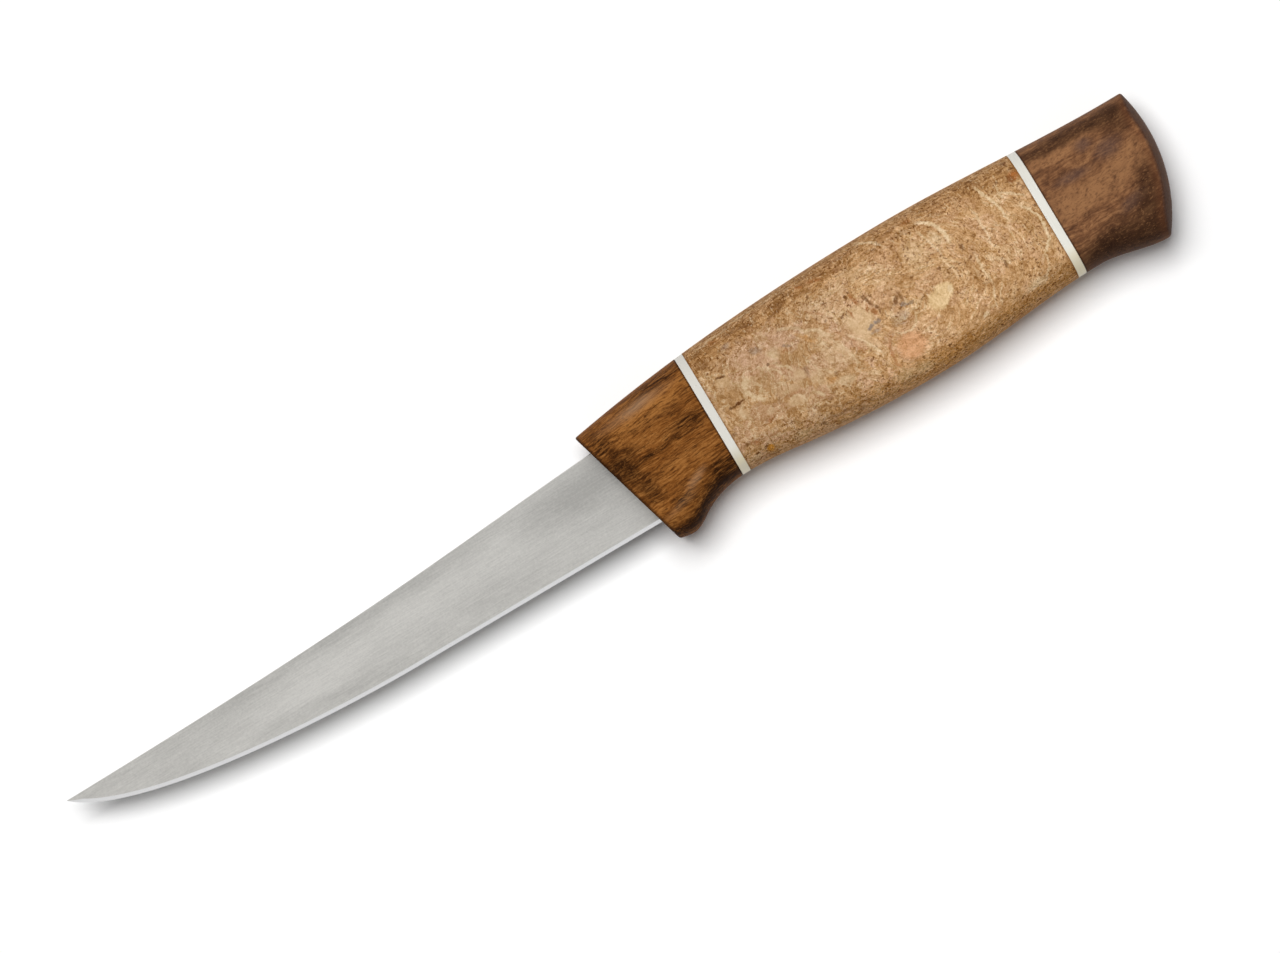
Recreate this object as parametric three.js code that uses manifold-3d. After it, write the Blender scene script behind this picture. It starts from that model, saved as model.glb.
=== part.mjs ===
// Fixed-blade fishing knife: a flat-ground blade whose hidden tang is glued into a handle stacked from
// wooden blocks and two pale spacers. Millimetres, +Z up. The knife lies on its side: +X runs from the
// point to the butt and +Y towards the spine. While it is built, x = 0 is the joint between the bolster
// and the front spacer, y = 0 is the handle's axis and z = 0 is the knife's middle plane.
import * as THREE from "three";
import { mergeVertices } from "three/addons/utils/BufferGeometryUtils.js";
import Module from "manifold-3d";

const wasm = await Module();
wasm.setup();

// Lengths along the handle's axis.
const BLADE_LENGTH = 125.5; // from the point to the bolster's front face
const BOLSTER_LENGTH = 22; // from the front face to the front spacer
const SPACER_THICKNESS = 1.8;
const GRIP_LENGTH = 75;
const POMMEL_LENGTH = 25; // from the rear spacer to the crown of the butt

// Blade outline: heights from the axis, positions from the point.
const POINT_HEIGHT = 0.2;
const SPINE_POINT_SLOPE = 0.012;
const SPINE_MIDDLE_HEIGHT = 2.5;
const SPINE_MIDDLE_POSITION = 75.5;
const SPINE_MIDDLE_SLOPE = 0.061;
const SPINE_HEEL_HEIGHT = 6.05;
const SPINE_HEEL_SLOPE = 0.062;
const EDGE_HEEL_DEPTH = 12.9;
const SWEEP_DEPTH = 12.6; // of the edge where it begins to sweep up
const SWEEP_LENGTH = 70.5;
const POINT_ANGLE = THREE.MathUtils.degToRad(42.5);
const POINT_PULL = 18; // how far the sweep keeps near the point's own angle

// Blade section.
const SPINE_THICKNESS = 2; // at the heel
const EDGE_THICKNESS = 0.35; // just above the edge bevel
const BEVEL_WIDTH = 0.75;
const SPINE_CORNER = 0.2; // broken corners of the spine
const POINT_BEVEL_SHARE = 0.4; // most of the blade's height that the bevel takes near the point
const POINT_CORNER_SHARE = 0.4; // most of the spine's half thickness that a corner takes there

// Tang and the slot it is glued into.
const TANG_HEIGHT = 10; // at the shoulder
const TANG_END_HEIGHT = 6.5;
const TANG_DROP = 0.5; // of its middle line below the axis
const TANG_STEP = 0.1; // by which it is thinner than the blade, each side
const TANG_IN_POMMEL = 11;
const GLUE_ROOM = 1.2; // round the tang behind the bolster, taken up by the epoxy
const GLUE_END_ROOM = 1.6; // behind the tang
const BOND_GAP = 0.25; // left open between faces that are glued or seated

// Back of the handle: heights above the axis.
const BACK_FRONT_HEIGHT = 9.8;
const BACK_FRONT_SLOPE = 0.178;
const CREST_HEIGHT = 15.5;
const CREST_POSITION = 47.5; // behind the front spacer's joint
const BACK_BUTT_HEIGHT = 13.3;
const BACK_BUTT_SLOPE = 0.015;

// Belly of the handle: depths below the axis, positions from the front spacer's joint.
const GUARD_NOSE_DEPTH = 14.4; // where the belly would start ahead of the slanted front
const GUARD_DEPTH = 18;
const GUARD_POSITION = 14.1;
const GUARD_FLANK_DEPTH = 16.2;
const GUARD_FLANK_POSITION = 10;
const GUARD_FLANK_SLOPE = 0.65;
const HOLLOW_DEPTH = 13.1;
const HOLLOW_POSITION = 1.6;
const RISE_DEPTH = 13.9;
const RISE_POSITION = 12;
const RISE_SLOPE = 0.14;
const PALM_DEPTH = 15.97;
const PALM_POSITION = 44.5;
const WAIST_DEPTH = 13.68;
const WAIST_POSITION = 3.1; // behind the rear spacer
const FLARE_DEPTH = 16.1;
const FLARE_POSITION = 7.3; // in front of the butt's crown
const BUTT_DEPTH = 14.4; // where the belly would end at the crown

// Section of the handle: flat sides, with the back and the belly rounded over.
const HANDLE_THICKNESS = 22; // between the flat sides
const FRONT_THICKNESS = 16; // where the bolster's taper would start ahead of the slanted front
const FRONT_THICKNESS_SLOPE = 0.36;
const TAPER_POSITION = 5; // of the taper's end, in front of the front spacer
const EDGE_ROUND = 6; // height that each rounded edge takes up

// Ends of the handle.
const FRONT_SLANT = THREE.MathUtils.degToRad(15.6);
const BUTT_RADIUS = 33.6; // of the domed end
const CROWN_HEIGHT = 4.5; // of the dome's crown above the axis
const EDGE_EASE = 0.4; // broken edge round the front face and the butt

// Fineness of the facets.
const ARC_POINTS = 23; // on each rounded edge
const FLAT_STEPS = 5; // across each flat side
const GRIP_PITCH = 3.2; // between the grip's rings
const END_PITCH = 1.6; // between the bolster's and the pommel's rings
const DOME_RINGS = 5;
const SWEEP_STATIONS = 26;
const STRAIGHT_STATIONS = 4;
const SLOT_ARC_POINTS = 7;
const TRIM_PASSES = 24;

// Stations that follow from the lengths.
const FRONT_FACE = -BOLSTER_LENGTH;
const POINT = FRONT_FACE - BLADE_LENGTH;
const GRIP_FRONT = SPACER_THICKNESS;
const GRIP_REAR = GRIP_FRONT + GRIP_LENGTH;
const POMMEL_FRONT = GRIP_REAR + SPACER_THICKNESS;
const BUTT = POMMEL_FRONT + POMMEL_LENGTH;
const TANG_END = POMMEL_FRONT + TANG_IN_POMMEL;
const SLOT_END = TANG_END + GLUE_END_ROOM;
const SLANT_RUN = Math.tan(FRONT_SLANT);
const FRONT_CORNER = FRONT_FACE - CREST_HEIGHT * SLANT_RUN; // ahead of every point of the bolster

const FINISH = {
  steel: { color: 0xb9bbbd, metalness: 1, roughness: 0.35 },
  walnut: { color: 0x7d4b22, metalness: 0, roughness: 0.4 },
  darkWalnut: { color: 0x69452b, metalness: 0, roughness: 0.4 },
  burl: { color: 0xb98f62, metalness: 0, roughness: 0.45 },
  ivory: { color: 0xefe9dc, metalness: 0, roughness: 0.45 },
  epoxy: { color: 0xc8a552, metalness: 0, roughness: 0.3 },
};

/** Makes a smooth line y(x) through stations [x, y, slope], cubic from one to the next. */
function smoothLine(stations) {
  return (x) => {
    const passed = stations.slice(1, -1).filter(([station]) => x > station);
    const i = passed.length;
    const [x0, y0, slope0] = stations[i];
    const [x1, y1, slope1] = stations[i + 1];
    const span = x1 - x0;
    const t = (x - x0) / span;
    const rest = 1 - t;
    const start = rest * rest * (y0 * (1 + 2 * t) + slope0 * span * t);
    const end = t * t * (y1 * (3 - 2 * t) - slope1 * span * rest);
    return start + end;
  };
}

const spineLine = smoothLine([
  [POINT, POINT_HEIGHT, SPINE_POINT_SLOPE],
  [POINT + SPINE_MIDDLE_POSITION, SPINE_MIDDLE_HEIGHT, SPINE_MIDDLE_SLOPE],
  [FRONT_FACE, SPINE_HEEL_HEIGHT, SPINE_HEEL_SLOPE],
]);

const backLine = smoothLine([
  [FRONT_CORNER, BACK_FRONT_HEIGHT, BACK_FRONT_SLOPE],
  [CREST_POSITION, CREST_HEIGHT, 0],
  [BUTT, BACK_BUTT_HEIGHT, BACK_BUTT_SLOPE],
]);

const bellyLine = smoothLine([
  [FRONT_CORNER, GUARD_NOSE_DEPTH, 0],
  [-GUARD_POSITION, GUARD_DEPTH, 0],
  [-GUARD_FLANK_POSITION, GUARD_FLANK_DEPTH, -GUARD_FLANK_SLOPE],
  [HOLLOW_POSITION, HOLLOW_DEPTH, 0],
  [RISE_POSITION, RISE_DEPTH, RISE_SLOPE],
  [PALM_POSITION, PALM_DEPTH, 0],
  [POMMEL_FRONT + WAIST_POSITION, WAIST_DEPTH, 0],
  [BUTT - FLARE_POSITION, FLARE_DEPTH, 0],
  [BUTT, BUTT_DEPTH, 0],
]);

const thicknessLine = smoothLine([
  [FRONT_CORNER, FRONT_THICKNESS, FRONT_THICKNESS_SLOPE],
  [-TAPER_POSITION, HANDLE_THICKNESS, 0],
  [BUTT, HANDLE_THICKNESS, 0],
]);

// Surfaces that end the pieces: each gives x at a height y and a distance z from the middle plane.
const squareCut = (x) => () => x;
const frontCut = (y) => FRONT_FACE - y * SLANT_RUN;
const buttCut = (y, z) => {
  const reach = Math.sqrt(BUTT_RADIUS ** 2 - (y - CROWN_HEIGHT) ** 2 - z ** 2);
  return BUTT - BUTT_RADIUS + reach;
};
const shifted = (cut, by) => (y, z) => cut(y, z) + by;

/** Finds the ring where a section that changes along x meets a cut. */
function ringOnCut(section, cut) {
  return section(cut(0, 0)).map((first, i) => {
    let point = first;
    for (let pass = 0; pass < TRIM_PASSES; pass += 1) {
      point = section(cut(point.y, point.z))[i];
    }
    return point;
  });
}

/** Closes a row of rings into a solid, with a fan from each end ring to its pole. */
function loft(rings, frontPole, rearPole) {
  const count = rings[0].length;
  const points = [...rings.flat(), frontPole, rearPole];
  const front = points.length - 2;
  const rear = points.length - 1;
  const last = (rings.length - 1) * count;
  const index = [];
  for (let j = 0; j < count; j += 1) {
    const next = (j + 1) % count;
    for (let row = 0; row < last; row += count) {
      index.push(row + j, row + next, row + count + j);
      index.push(row + next, row + count + next, row + count + j);
    }
    index.push(front, next, j);
    index.push(rear, last + j, last + next);
  }
  const geometry = new THREE.BufferGeometry().setFromPoints(points);
  geometry.setIndex(index);
  return geometry;
}

/** Turns a closed geometry into a solid that can be cut. */
function toSolid(geometry) {
  const bare = geometry.clone();
  bare.deleteAttribute("normal");
  bare.deleteAttribute("uv");
  const merged = mergeVertices(bare, 1e-5);
  const vertProperties = new Float32Array(merged.attributes.position.array);
  const triVerts = new Uint32Array(merged.index.array);
  return new wasm.Manifold(new wasm.Mesh({ numProp: 3, vertProperties, triVerts }));
}

/** Cuts one closed geometry out of another. */
function cutAway(geometry, tool) {
  const mesh = toSolid(geometry).subtract(toSolid(tool)).getMesh();
  const result = new THREE.BufferGeometry();
  result.setAttribute("position", new THREE.BufferAttribute(mesh.vertProperties, 3));
  result.setIndex(new THREE.BufferAttribute(mesh.triVerts, 1));
  return result;
}

/** Names a piece and gives it its finish. */
function piece(name, geometry, finish) {
  geometry.computeVertexNormals();
  const mesh = new THREE.Mesh(geometry, new THREE.MeshStandardMaterial(finish));
  mesh.name = name;
  return mesh;
}

// Blade and tang: the blank is cut from taper-ground strip, so both carry one wedge section.

const SHOULDER_HEEL_DEPTH = EDGE_HEEL_DEPTH - BEVEL_WIDTH;
const GRIND_HEIGHT = SPINE_HEEL_HEIGHT + SHOULDER_HEEL_DEPTH;
const GRIND_SLOPE = (SPINE_THICKNESS - EDGE_THICKNESS) / 2 / GRIND_HEIGHT;
const wedgeHalf = (heightOverBevel) => EDGE_THICKNESS / 2 + GRIND_SLOPE * heightOverBevel;

/** Makes one seven-point wedge ring: spine corners, bevel shoulders and edge, turning from +Y to +Z. */
function wedgeRing(x, top, shoulder, edge, spineHalf, shoulderHalf, corner) {
  const side = (half) => [
    new THREE.Vector3(x, top, half * (spineHalf - corner)),
    new THREE.Vector3(x, top - corner, half * spineHalf),
    new THREE.Vector3(x, shoulder, half * shoulderHalf),
  ];
  return [...side(1), new THREE.Vector3(x, edge, 0), ...side(-1).reverse()];
}

/** Makes the blade's ring at x, where its edge lies at the given height and slope. */
function bladeRing(x, edge, edgeSlope) {
  const top = spineLine(x);
  const bevel = Math.min(BEVEL_WIDTH * Math.hypot(1, edgeSlope), (top - edge) * POINT_BEVEL_SHARE);
  const shoulder = edge + bevel;
  const shoulderHalf = (EDGE_THICKNESS / 2) * Math.min(1, bevel / BEVEL_WIDTH);
  const spineHalf = shoulderHalf + GRIND_SLOPE * (top - shoulder);
  const corner = Math.min(SPINE_CORNER, spineHalf * POINT_CORNER_SHARE);
  return wedgeRing(x, top, shoulder, edge, spineHalf, shoulderHalf, corner);
}

/** Makes the tang's ring at x, grown on every side by a distance. */
function tangRing(x, grow) {
  const along = (x - FRONT_FACE) / (TANG_END - FRONT_FACE);
  const half = THREE.MathUtils.lerp(TANG_HEIGHT, TANG_END_HEIGHT, along) / 2;
  const top = half - TANG_DROP;
  const bottom = -half - TANG_DROP;
  const thick = wedgeHalf(top + SHOULDER_HEEL_DEPTH) - TANG_STEP + grow;
  const thin = wedgeHalf(bottom + SHOULDER_HEEL_DEPTH) - TANG_STEP + grow;
  return wedgeRing(x, top + grow, bottom - grow, bottom - grow, thick, thin, SPINE_CORNER);
}

/** Lofts the blade from its point to the heel, steps in at the shoulders and runs on as the tang. */
function makeBlade() {
  const point = new THREE.Vector2(POINT, POINT_HEIGHT);
  const pull = new THREE.Vector2(Math.cos(POINT_ANGLE), -Math.sin(POINT_ANGLE)).multiplyScalar(POINT_PULL);
  const sweepEnd = new THREE.Vector2(POINT + SWEEP_LENGTH, -SWEEP_DEPTH);
  const sweep = new THREE.CubicBezierCurve(point, point.clone().add(pull), sweepEnd, sweepEnd);
  const rings = [];
  for (let i = 1; i <= SWEEP_STATIONS; i += 1) {
    const t = i / SWEEP_STATIONS;
    const on = sweep.getPoint(t);
    const tangent = sweep.getTangent(t);
    rings.push(bladeRing(on.x, on.y, tangent.y / tangent.x));
  }
  const heel = shifted(frontCut, -BOND_GAP);
  const straight = heel(-EDGE_HEEL_DEPTH, 0) - sweepEnd.x;
  const edgeSlope = (SWEEP_DEPTH - EDGE_HEEL_DEPTH) / straight;
  const straightRing = (x) => bladeRing(x, -SWEEP_DEPTH + (x - sweepEnd.x) * edgeSlope, edgeSlope);
  const clear = heel(SPINE_HEEL_HEIGHT, 0) - sweepEnd.x;
  for (let i = 1; i <= STRAIGHT_STATIONS; i += 1) {
    rings.push(straightRing(sweepEnd.x + (clear * i) / (STRAIGHT_STATIONS + 1)));
  }
  rings.push(ringOnCut(straightRing, heel));
  rings.push(ringOnCut((x) => tangRing(x, 0), heel));
  rings.push(tangRing(TANG_END, 0));
  const tip = new THREE.Vector3(POINT, POINT_HEIGHT, 0);
  return piece("blade", loft(rings, tip, new THREE.Vector3(TANG_END, -TANG_DROP, 0)), FINISH.steel);
}

/** Makes the round-ended ring of the tang slot at x, drawn in by an inset. */
function slotRing(x, inset) {
  const half = SPINE_THICKNESS / 2 + GLUE_ROOM - inset;
  const straight = TANG_HEIGHT / 2 + GLUE_ROOM - inset - half;
  const ring = [];
  for (const end of [1, -1]) {
    for (let i = 0; i < SLOT_ARC_POINTS; i += 1) {
      const turn = Math.PI * (i / (SLOT_ARC_POINTS - 1) - 0.5);
      const y = end * (straight + half * Math.cos(turn)) - TANG_DROP;
      ring.push(new THREE.Vector3(x, y, end * half * Math.sin(turn)));
    }
  }
  return ring;
}

/** Makes a straight bar along the tang between two stations, from a ring at each. */
function makeBar(ringAt, from, to) {
  const poles = [from, to].map((x) => new THREE.Vector3(x, -TANG_DROP, 0));
  return loft([ringAt(from), ringAt(to)], ...poles);
}

/** Makes the close room round the tang, from ahead of the bolster to just behind the tang's end. */
function makeTangRoom() {
  return makeBar((x) => tangRing(x, BOND_GAP), FRONT_CORNER, TANG_END + BOND_GAP);
}

/** Makes the wide slot, from inside the bolster's span to its blind end in the pommel. */
function makeSlot() {
  return makeBar((x) => slotRing(x, 0), FRONT_FACE, SLOT_END);
}

/** Makes the cured epoxy that fills the wide slot round the tang. */
function makeEpoxy(tangRoom) {
  const filled = makeBar((x) => slotRing(x, BOND_GAP), 0, SLOT_END - BOND_GAP);
  return piece("tang_epoxy", cutAway(filled, tangRoom), FINISH.epoxy);
}

// Handle: every block takes its surface from the same three lines, so the joints are flush.

/** Makes the handle's section at x, drawn in by an inset. */
function handleSection(x, inset) {
  const half = thicknessLine(x) / 2 - inset;
  const backFlat = backLine(x) - inset - EDGE_ROUND;
  const bellyFlat = bellyLine(x) - inset - EDGE_ROUND;
  const ring = [];
  for (const [end, flat, nextFlat] of [[1, backFlat, bellyFlat], [-1, bellyFlat, backFlat]]) {
    for (let i = 0; i < ARC_POINTS; i += 1) {
      const turn = Math.PI * (i / (ARC_POINTS - 1) - 0.5);
      const y = end * (flat + EDGE_ROUND * Math.cos(turn));
      ring.push(new THREE.Vector3(x, y, end * half * Math.sin(turn)));
    }
    for (let i = 1; i < FLAT_STEPS; i += 1) {
      const y = end * THREE.MathUtils.lerp(flat, -nextFlat, i / FLAT_STEPS);
      ring.push(new THREE.Vector3(x, y, end * half));
    }
  }
  return ring;
}

/** Makes the rings of a block from one cut to the other, in steps of about a pitch. */
function blockRings(from, to, pitch) {
  const steps = Math.ceil((to(0, 0) - from(0, 0)) / pitch);
  const rings = [];
  for (let i = 0; i <= steps; i += 1) {
    const between = (y, z) => THREE.MathUtils.lerp(from(y, z), to(y, z), i / steps);
    rings.push(ringOnCut((x) => handleSection(x, 0), between));
  }
  return rings;
}

/** Makes a block with square ends, with the slot through it. */
function makeSquareBlock(name, from, to, slot, finish) {
  const rings = blockRings(squareCut(from), squareCut(to), GRIP_PITCH);
  const solid = loft(rings, new THREE.Vector3(from, 0, 0), new THREE.Vector3(to, 0, 0));
  return piece(name, cutAway(solid, slot), finish);
}

/** Makes the bolster: slanted front face with a broken edge, finger guard and close slot for the tang. */
function makeBolster(tangRoom) {
  const rings = blockRings(shifted(frontCut, EDGE_EASE), squareCut(0), END_PITCH);
  rings.unshift(ringOnCut((x) => handleSection(x, EDGE_EASE), frontCut));
  const solid = loft(rings, new THREE.Vector3(FRONT_FACE, 0, 0), new THREE.Vector3(0, 0, 0));
  return piece("front_bolster", cutAway(solid, tangRoom), FINISH.walnut);
}

/** Makes the pommel: flared, with a broken edge round its domed butt, and the blind end of the slot. */
function makePommel(slot) {
  const rings = blockRings(squareCut(POMMEL_FRONT), shifted(buttCut, -EDGE_EASE), END_PITCH);
  const rim = ringOnCut((x) => handleSection(x, EDGE_EASE), buttCut);
  for (let i = 0; i < DOME_RINGS; i += 1) {
    const share = 1 - i / DOME_RINGS;
    rings.push(rim.map((edge) => {
      const y = CROWN_HEIGHT + (edge.y - CROWN_HEIGHT) * share;
      const z = edge.z * share;
      return new THREE.Vector3(buttCut(y, z), y, z);
    }));
  }
  const crown = new THREE.Vector3(BUTT, CROWN_HEIGHT, 0);
  const solid = loft(rings, new THREE.Vector3(POMMEL_FRONT, 0, 0), crown);
  return piece("pommel", cutAway(solid, slot), FINISH.darkWalnut);
}

/** Puts the knife together and sets its origin under the middle of its box. */
function makeKnife() {
  const tangRoom = makeTangRoom();
  const slot = makeSlot();
  const knife = new THREE.Group();
  knife.name = "fishing_knife";
  knife.add(
    makeBlade(),
    makeBolster(tangRoom),
    makeSquareBlock("front_spacer", 0, GRIP_FRONT, slot, FINISH.ivory),
    makeSquareBlock("grip", GRIP_FRONT, GRIP_REAR, slot, FINISH.burl),
    makeSquareBlock("rear_spacer", GRIP_REAR, POMMEL_FRONT, slot, FINISH.ivory),
    makePommel(slot),
    makeEpoxy(tangRoom),
  );
  const box = new THREE.Box3().setFromObject(knife);
  const middle = box.getCenter(new THREE.Vector3());
  knife.position.set(-middle.x, -middle.y, -box.min.z);
  return knife;
}

export default makeKnife();
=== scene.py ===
"""Looks of a fishing knife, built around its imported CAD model.

Sizes are in metres. Along the knife, x runs from the joint between the bolster and the front spacer towards
the butt. Heights are measured from the handle's axis, and depths from the knife's middle plane. Patterns on
the surfaces have the same origin and are written in millimetres.
"""

import logging
import math
from collections.abc import Callable, Sequence
from dataclasses import dataclass
from enum import Enum
from typing import ClassVar

import bmesh
import bpy
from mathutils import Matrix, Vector


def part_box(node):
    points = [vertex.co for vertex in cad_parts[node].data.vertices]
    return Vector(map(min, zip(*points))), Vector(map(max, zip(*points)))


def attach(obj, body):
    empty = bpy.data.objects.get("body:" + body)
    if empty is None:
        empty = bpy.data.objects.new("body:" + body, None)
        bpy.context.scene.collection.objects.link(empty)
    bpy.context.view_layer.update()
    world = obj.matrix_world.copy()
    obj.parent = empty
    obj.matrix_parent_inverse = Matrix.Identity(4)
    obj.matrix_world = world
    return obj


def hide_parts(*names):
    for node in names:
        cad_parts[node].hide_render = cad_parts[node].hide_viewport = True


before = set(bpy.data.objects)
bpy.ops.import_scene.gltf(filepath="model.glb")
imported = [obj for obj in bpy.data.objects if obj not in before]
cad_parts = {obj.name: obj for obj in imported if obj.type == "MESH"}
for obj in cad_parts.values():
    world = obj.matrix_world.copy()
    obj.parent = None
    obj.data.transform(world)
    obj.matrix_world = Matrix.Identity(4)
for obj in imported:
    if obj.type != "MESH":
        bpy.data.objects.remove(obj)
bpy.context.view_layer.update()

LOG = logging.getLogger("fishing_knife")
MM = 0.001
BODY = "root"
WELD = 1e-7
SEAM_EASE = 0.06 * MM
SEAM_STEPS = 2
RIM_STEPS = 3
NOISE_MEAN = 0.5
WOOD_SHINE = 0.005

Colour = tuple[float, float, float, float]
Cut = Callable[[float, float], float]
Ring = list[Vector]


def srgb(red: int, green: int, blue: int) -> Colour:
    """Turn a colour as it looks on a screen into Blender's linear values.

    Args:
        red: Red level from 0 to 255.
        green: Green level from 0 to 255.
        blue: Blue level from 0 to 255.

    Returns:
        The linear colour with full alpha.
    """
    levels = [level / 255 for level in (red, green, blue)]
    linear = [level / 12.92 if level <= 0.04045 else ((level + 0.055) / 1.055) ** 2.4 for level in levels]
    return (*linear, 1.0)


class Value:
    """A number that varies over a surface, held as an output socket."""

    def __init__(self, graph: "Graph", socket: bpy.types.NodeSocket) -> None:
        """Hold a socket and the graph that it belongs to."""
        self.graph = graph
        self.socket = socket

    def __add__(self, other: "Value | float") -> "Value":
        """Add a number or a value."""
        return self.graph.math("ADD", self, other)

    def __radd__(self, other: float) -> "Value":
        """Add to a number."""
        return self.graph.math("ADD", other, self)

    def __sub__(self, other: "Value | float") -> "Value":
        """Subtract a number or a value."""
        return self.graph.math("SUBTRACT", self, other)

    def __rsub__(self, other: float) -> "Value":
        """Subtract from a number."""
        return self.graph.math("SUBTRACT", other, self)

    def __mul__(self, other: "Value | float") -> "Value":
        """Multiply by a number or a value."""
        return self.graph.math("MULTIPLY", self, other)

    def __rmul__(self, other: float) -> "Value":
        """Multiply a number."""
        return self.graph.math("MULTIPLY", other, self)

    def __abs__(self) -> "Value":
        """Take the size without its sign."""
        return self.graph.math("ABSOLUTE", self)

    def either(self, other: "Value") -> "Value":
        """Take the larger of two values."""
        return self.graph.math("MAXIMUM", self, other)

    def swing(self, width: float) -> "Value":
        """Take a noise's swing about its mean, times a width."""
        return (self - NOISE_MEAN) * width

    def smooth(self, start: float, end: float, top: float = 1.0) -> "Value":
        """Rise smoothly from 0 at one level to a top at another.

        Args:
            start: Level that gives 0.
            end: Level that gives the top, which may be the lower one.
            top: Highest result.

        Returns:
            The eased value.
        """
        made = self.graph.node(
            "ShaderNodeMapRange",
            {"interpolation_type": "SMOOTHSTEP"},
            {"Value": self, "From Min": start, "From Max": end, "To Max": top},
        )
        return Value(self.graph, made.outputs["Result"])


Feed = Value | bpy.types.NodeSocket | float | Sequence[float]


class Graph:
    """The node tree of a material or of the world."""

    def __init__(self, owner: bpy.types.Material | bpy.types.World) -> None:
        """Start with an empty tree.

        Args:
            owner: The material or world.
        """
        owner.use_nodes = True
        self.owner = owner
        self.tree = owner.node_tree
        self.tree.nodes.clear()

    @classmethod
    def of_material(cls, name: str) -> "Graph":
        """Start the tree of a new material."""
        return cls(bpy.data.materials.new(name))

    def node(self, kind: str, settings: dict | None = None, feeds: dict | None = None) -> bpy.types.Node:
        """Add a node.

        Args:
            kind: Blender's name of the node's type.
            settings: Properties, which are set first. For a colour ramp, "stops" gives pairs of position
                and colour.
            feeds: Values or links of the node's input sockets, by name or number.

        Returns:
            The new node.
        """
        made = self.tree.nodes.new(kind)
        for name, setting in (settings or {}).items():
            if name == "stops":
                self.set_stops(made.color_ramp, setting)
            else:
                setattr(made, name, setting)
        for key, feed in (feeds or {}).items():
            self.feed(made.inputs[key], feed)
        return made

    def set_stops(self, ramp: bpy.types.ColorRamp, stops: Sequence[tuple[float, Colour]]) -> None:
        """Give a colour ramp its stops.

        Args:
            ramp: The ramp, fresh from Blender with two stops.
            stops: Position and colour of each stop, in order.
        """
        while len(ramp.elements) < len(stops):
            ramp.elements.new(1.0)
        for element, (position, colour) in zip(ramp.elements, stops):
            element.position = position
            element.color = colour

    def feed(self, socket: bpy.types.NodeSocket, feed: Feed) -> None:
        """Link or set one input socket.

        Args:
            socket: The input.
            feed: A value, an output socket, or what the input holds by itself.
        """
        if isinstance(feed, Value):
            feed = feed.socket
        if isinstance(feed, bpy.types.NodeSocket):
            self.tree.links.new(feed, socket)
        else:
            socket.default_value = feed

    def math(self, operation: str, *operands: Value | float) -> Value:
        """Add a Math node.

        Args:
            operation: The node's operation.
            operands: Its inputs in order.

        Returns:
            The result.
        """
        made = self.node("ShaderNodeMath", {"operation": operation}, dict(enumerate(operands)))
        return Value(self, made.outputs[0])

    def mix(
        self, share: Value | float, first: Feed, second: Feed, blend: str = "MIX"
    ) -> bpy.types.NodeSocket:
        """Mix two colours, with the colour sockets of a Mix node: inputs 6 and 7 and output 2.

        Args:
            share: Share of the second colour.
            first: First colour.
            second: Second colour.
            blend: Blend mode of the node.

        Returns:
            The mixed colour.
        """
        settings = {"data_type": "RGBA", "blend_type": blend, "clamp_factor": True}
        made = self.node("ShaderNodeMix", settings, {0: share, 6: first, 7: second})
        return made.outputs[2]

    def spots(
        self, under: Feed, over: Colour, patches: "Sequence[Patch]", point: Feed, share: Value | float
    ) -> Feed:
        """Lay spots of one colour over another.

        Args:
            under: Colour below.
            over: Colour of the spots.
            patches: The spots.
            point: The point on the surface.
            share: Strength of the spots.

        Returns:
            The colour with its spots.
        """
        for patch in patches:
            under = self.mix(patch.mask(self, point) * share, under, over)
        return under

    def ramp(self, value: Value, *stops: tuple[float, Colour]) -> bpy.types.NodeSocket:
        """Turn a value into colours.

        Args:
            value: What runs along the ramp.
            stops: Position and colour of each stop.

        Returns:
            The colour.
        """
        return self.node("ShaderNodeValToRGB", {"stops": stops}, {"Fac": value}).outputs["Color"]

    def knife_point(self, datum: "Datum") -> bpy.types.NodeSocket:
        """Give the point on the surface in millimetres from the knife's datum.

        Args:
            datum: The knife's datum in the frame.

        Returns:
            The point as a vector.
        """
        seen = self.node("ShaderNodeTexCoord").outputs["Object"]
        shift = [-place / MM for place in (datum.joint, datum.axis, datum.middle)]
        scale = [1 / MM] * 3
        feeds = {"Vector": seen, "Location": shift, "Scale": scale}
        return self.node("ShaderNodeMapping", None, feeds).outputs[0]

    def stretch(self, point: Feed, scale: Sequence[float], turn: float = 0.0) -> bpy.types.NodeSocket:
        """Turn a point about the depth axis and scale it.

        Args:
            point: The point.
            scale: Factor on each axis.
            turn: Angle in degrees.

        Returns:
            The new point.
        """
        feeds = {"Vector": point, "Rotation": (0, 0, math.radians(-turn))}
        turned = self.node("ShaderNodeMapping", None, feeds).outputs[0]
        return self.node("ShaderNodeMapping", None, {"Vector": turned, "Scale": scale}).outputs[0]

    def noise(self, point: Feed, scale: float, detail: float = 2.0, roughness: float = 0.5) -> Value:
        """Add soft noise.

        Args:
            point: Where it is read.
            scale: Lumps per unit of the point.
            detail: Number of finer layers.
            roughness: Strength of the finer layers.

        Returns:
            A value about 0.5.
        """
        feeds = {"Vector": point, "Scale": scale, "Detail": detail, "Roughness": roughness}
        return Value(self, self.node("ShaderNodeTexNoise", None, feeds).outputs["Fac"])

    def chips(self, point: Feed, scale: float) -> Value:
        """Fill space with chips, each with its own value.

        Args:
            point: Where they are read.
            scale: Chips per unit of the point.

        Returns:
            A value about 0.5.
        """
        made = self.node("ShaderNodeTexVoronoi", {"feature": "F1"}, {"Vector": point, "Scale": scale})
        return self.channels(made.outputs["Color"])[0]

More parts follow.
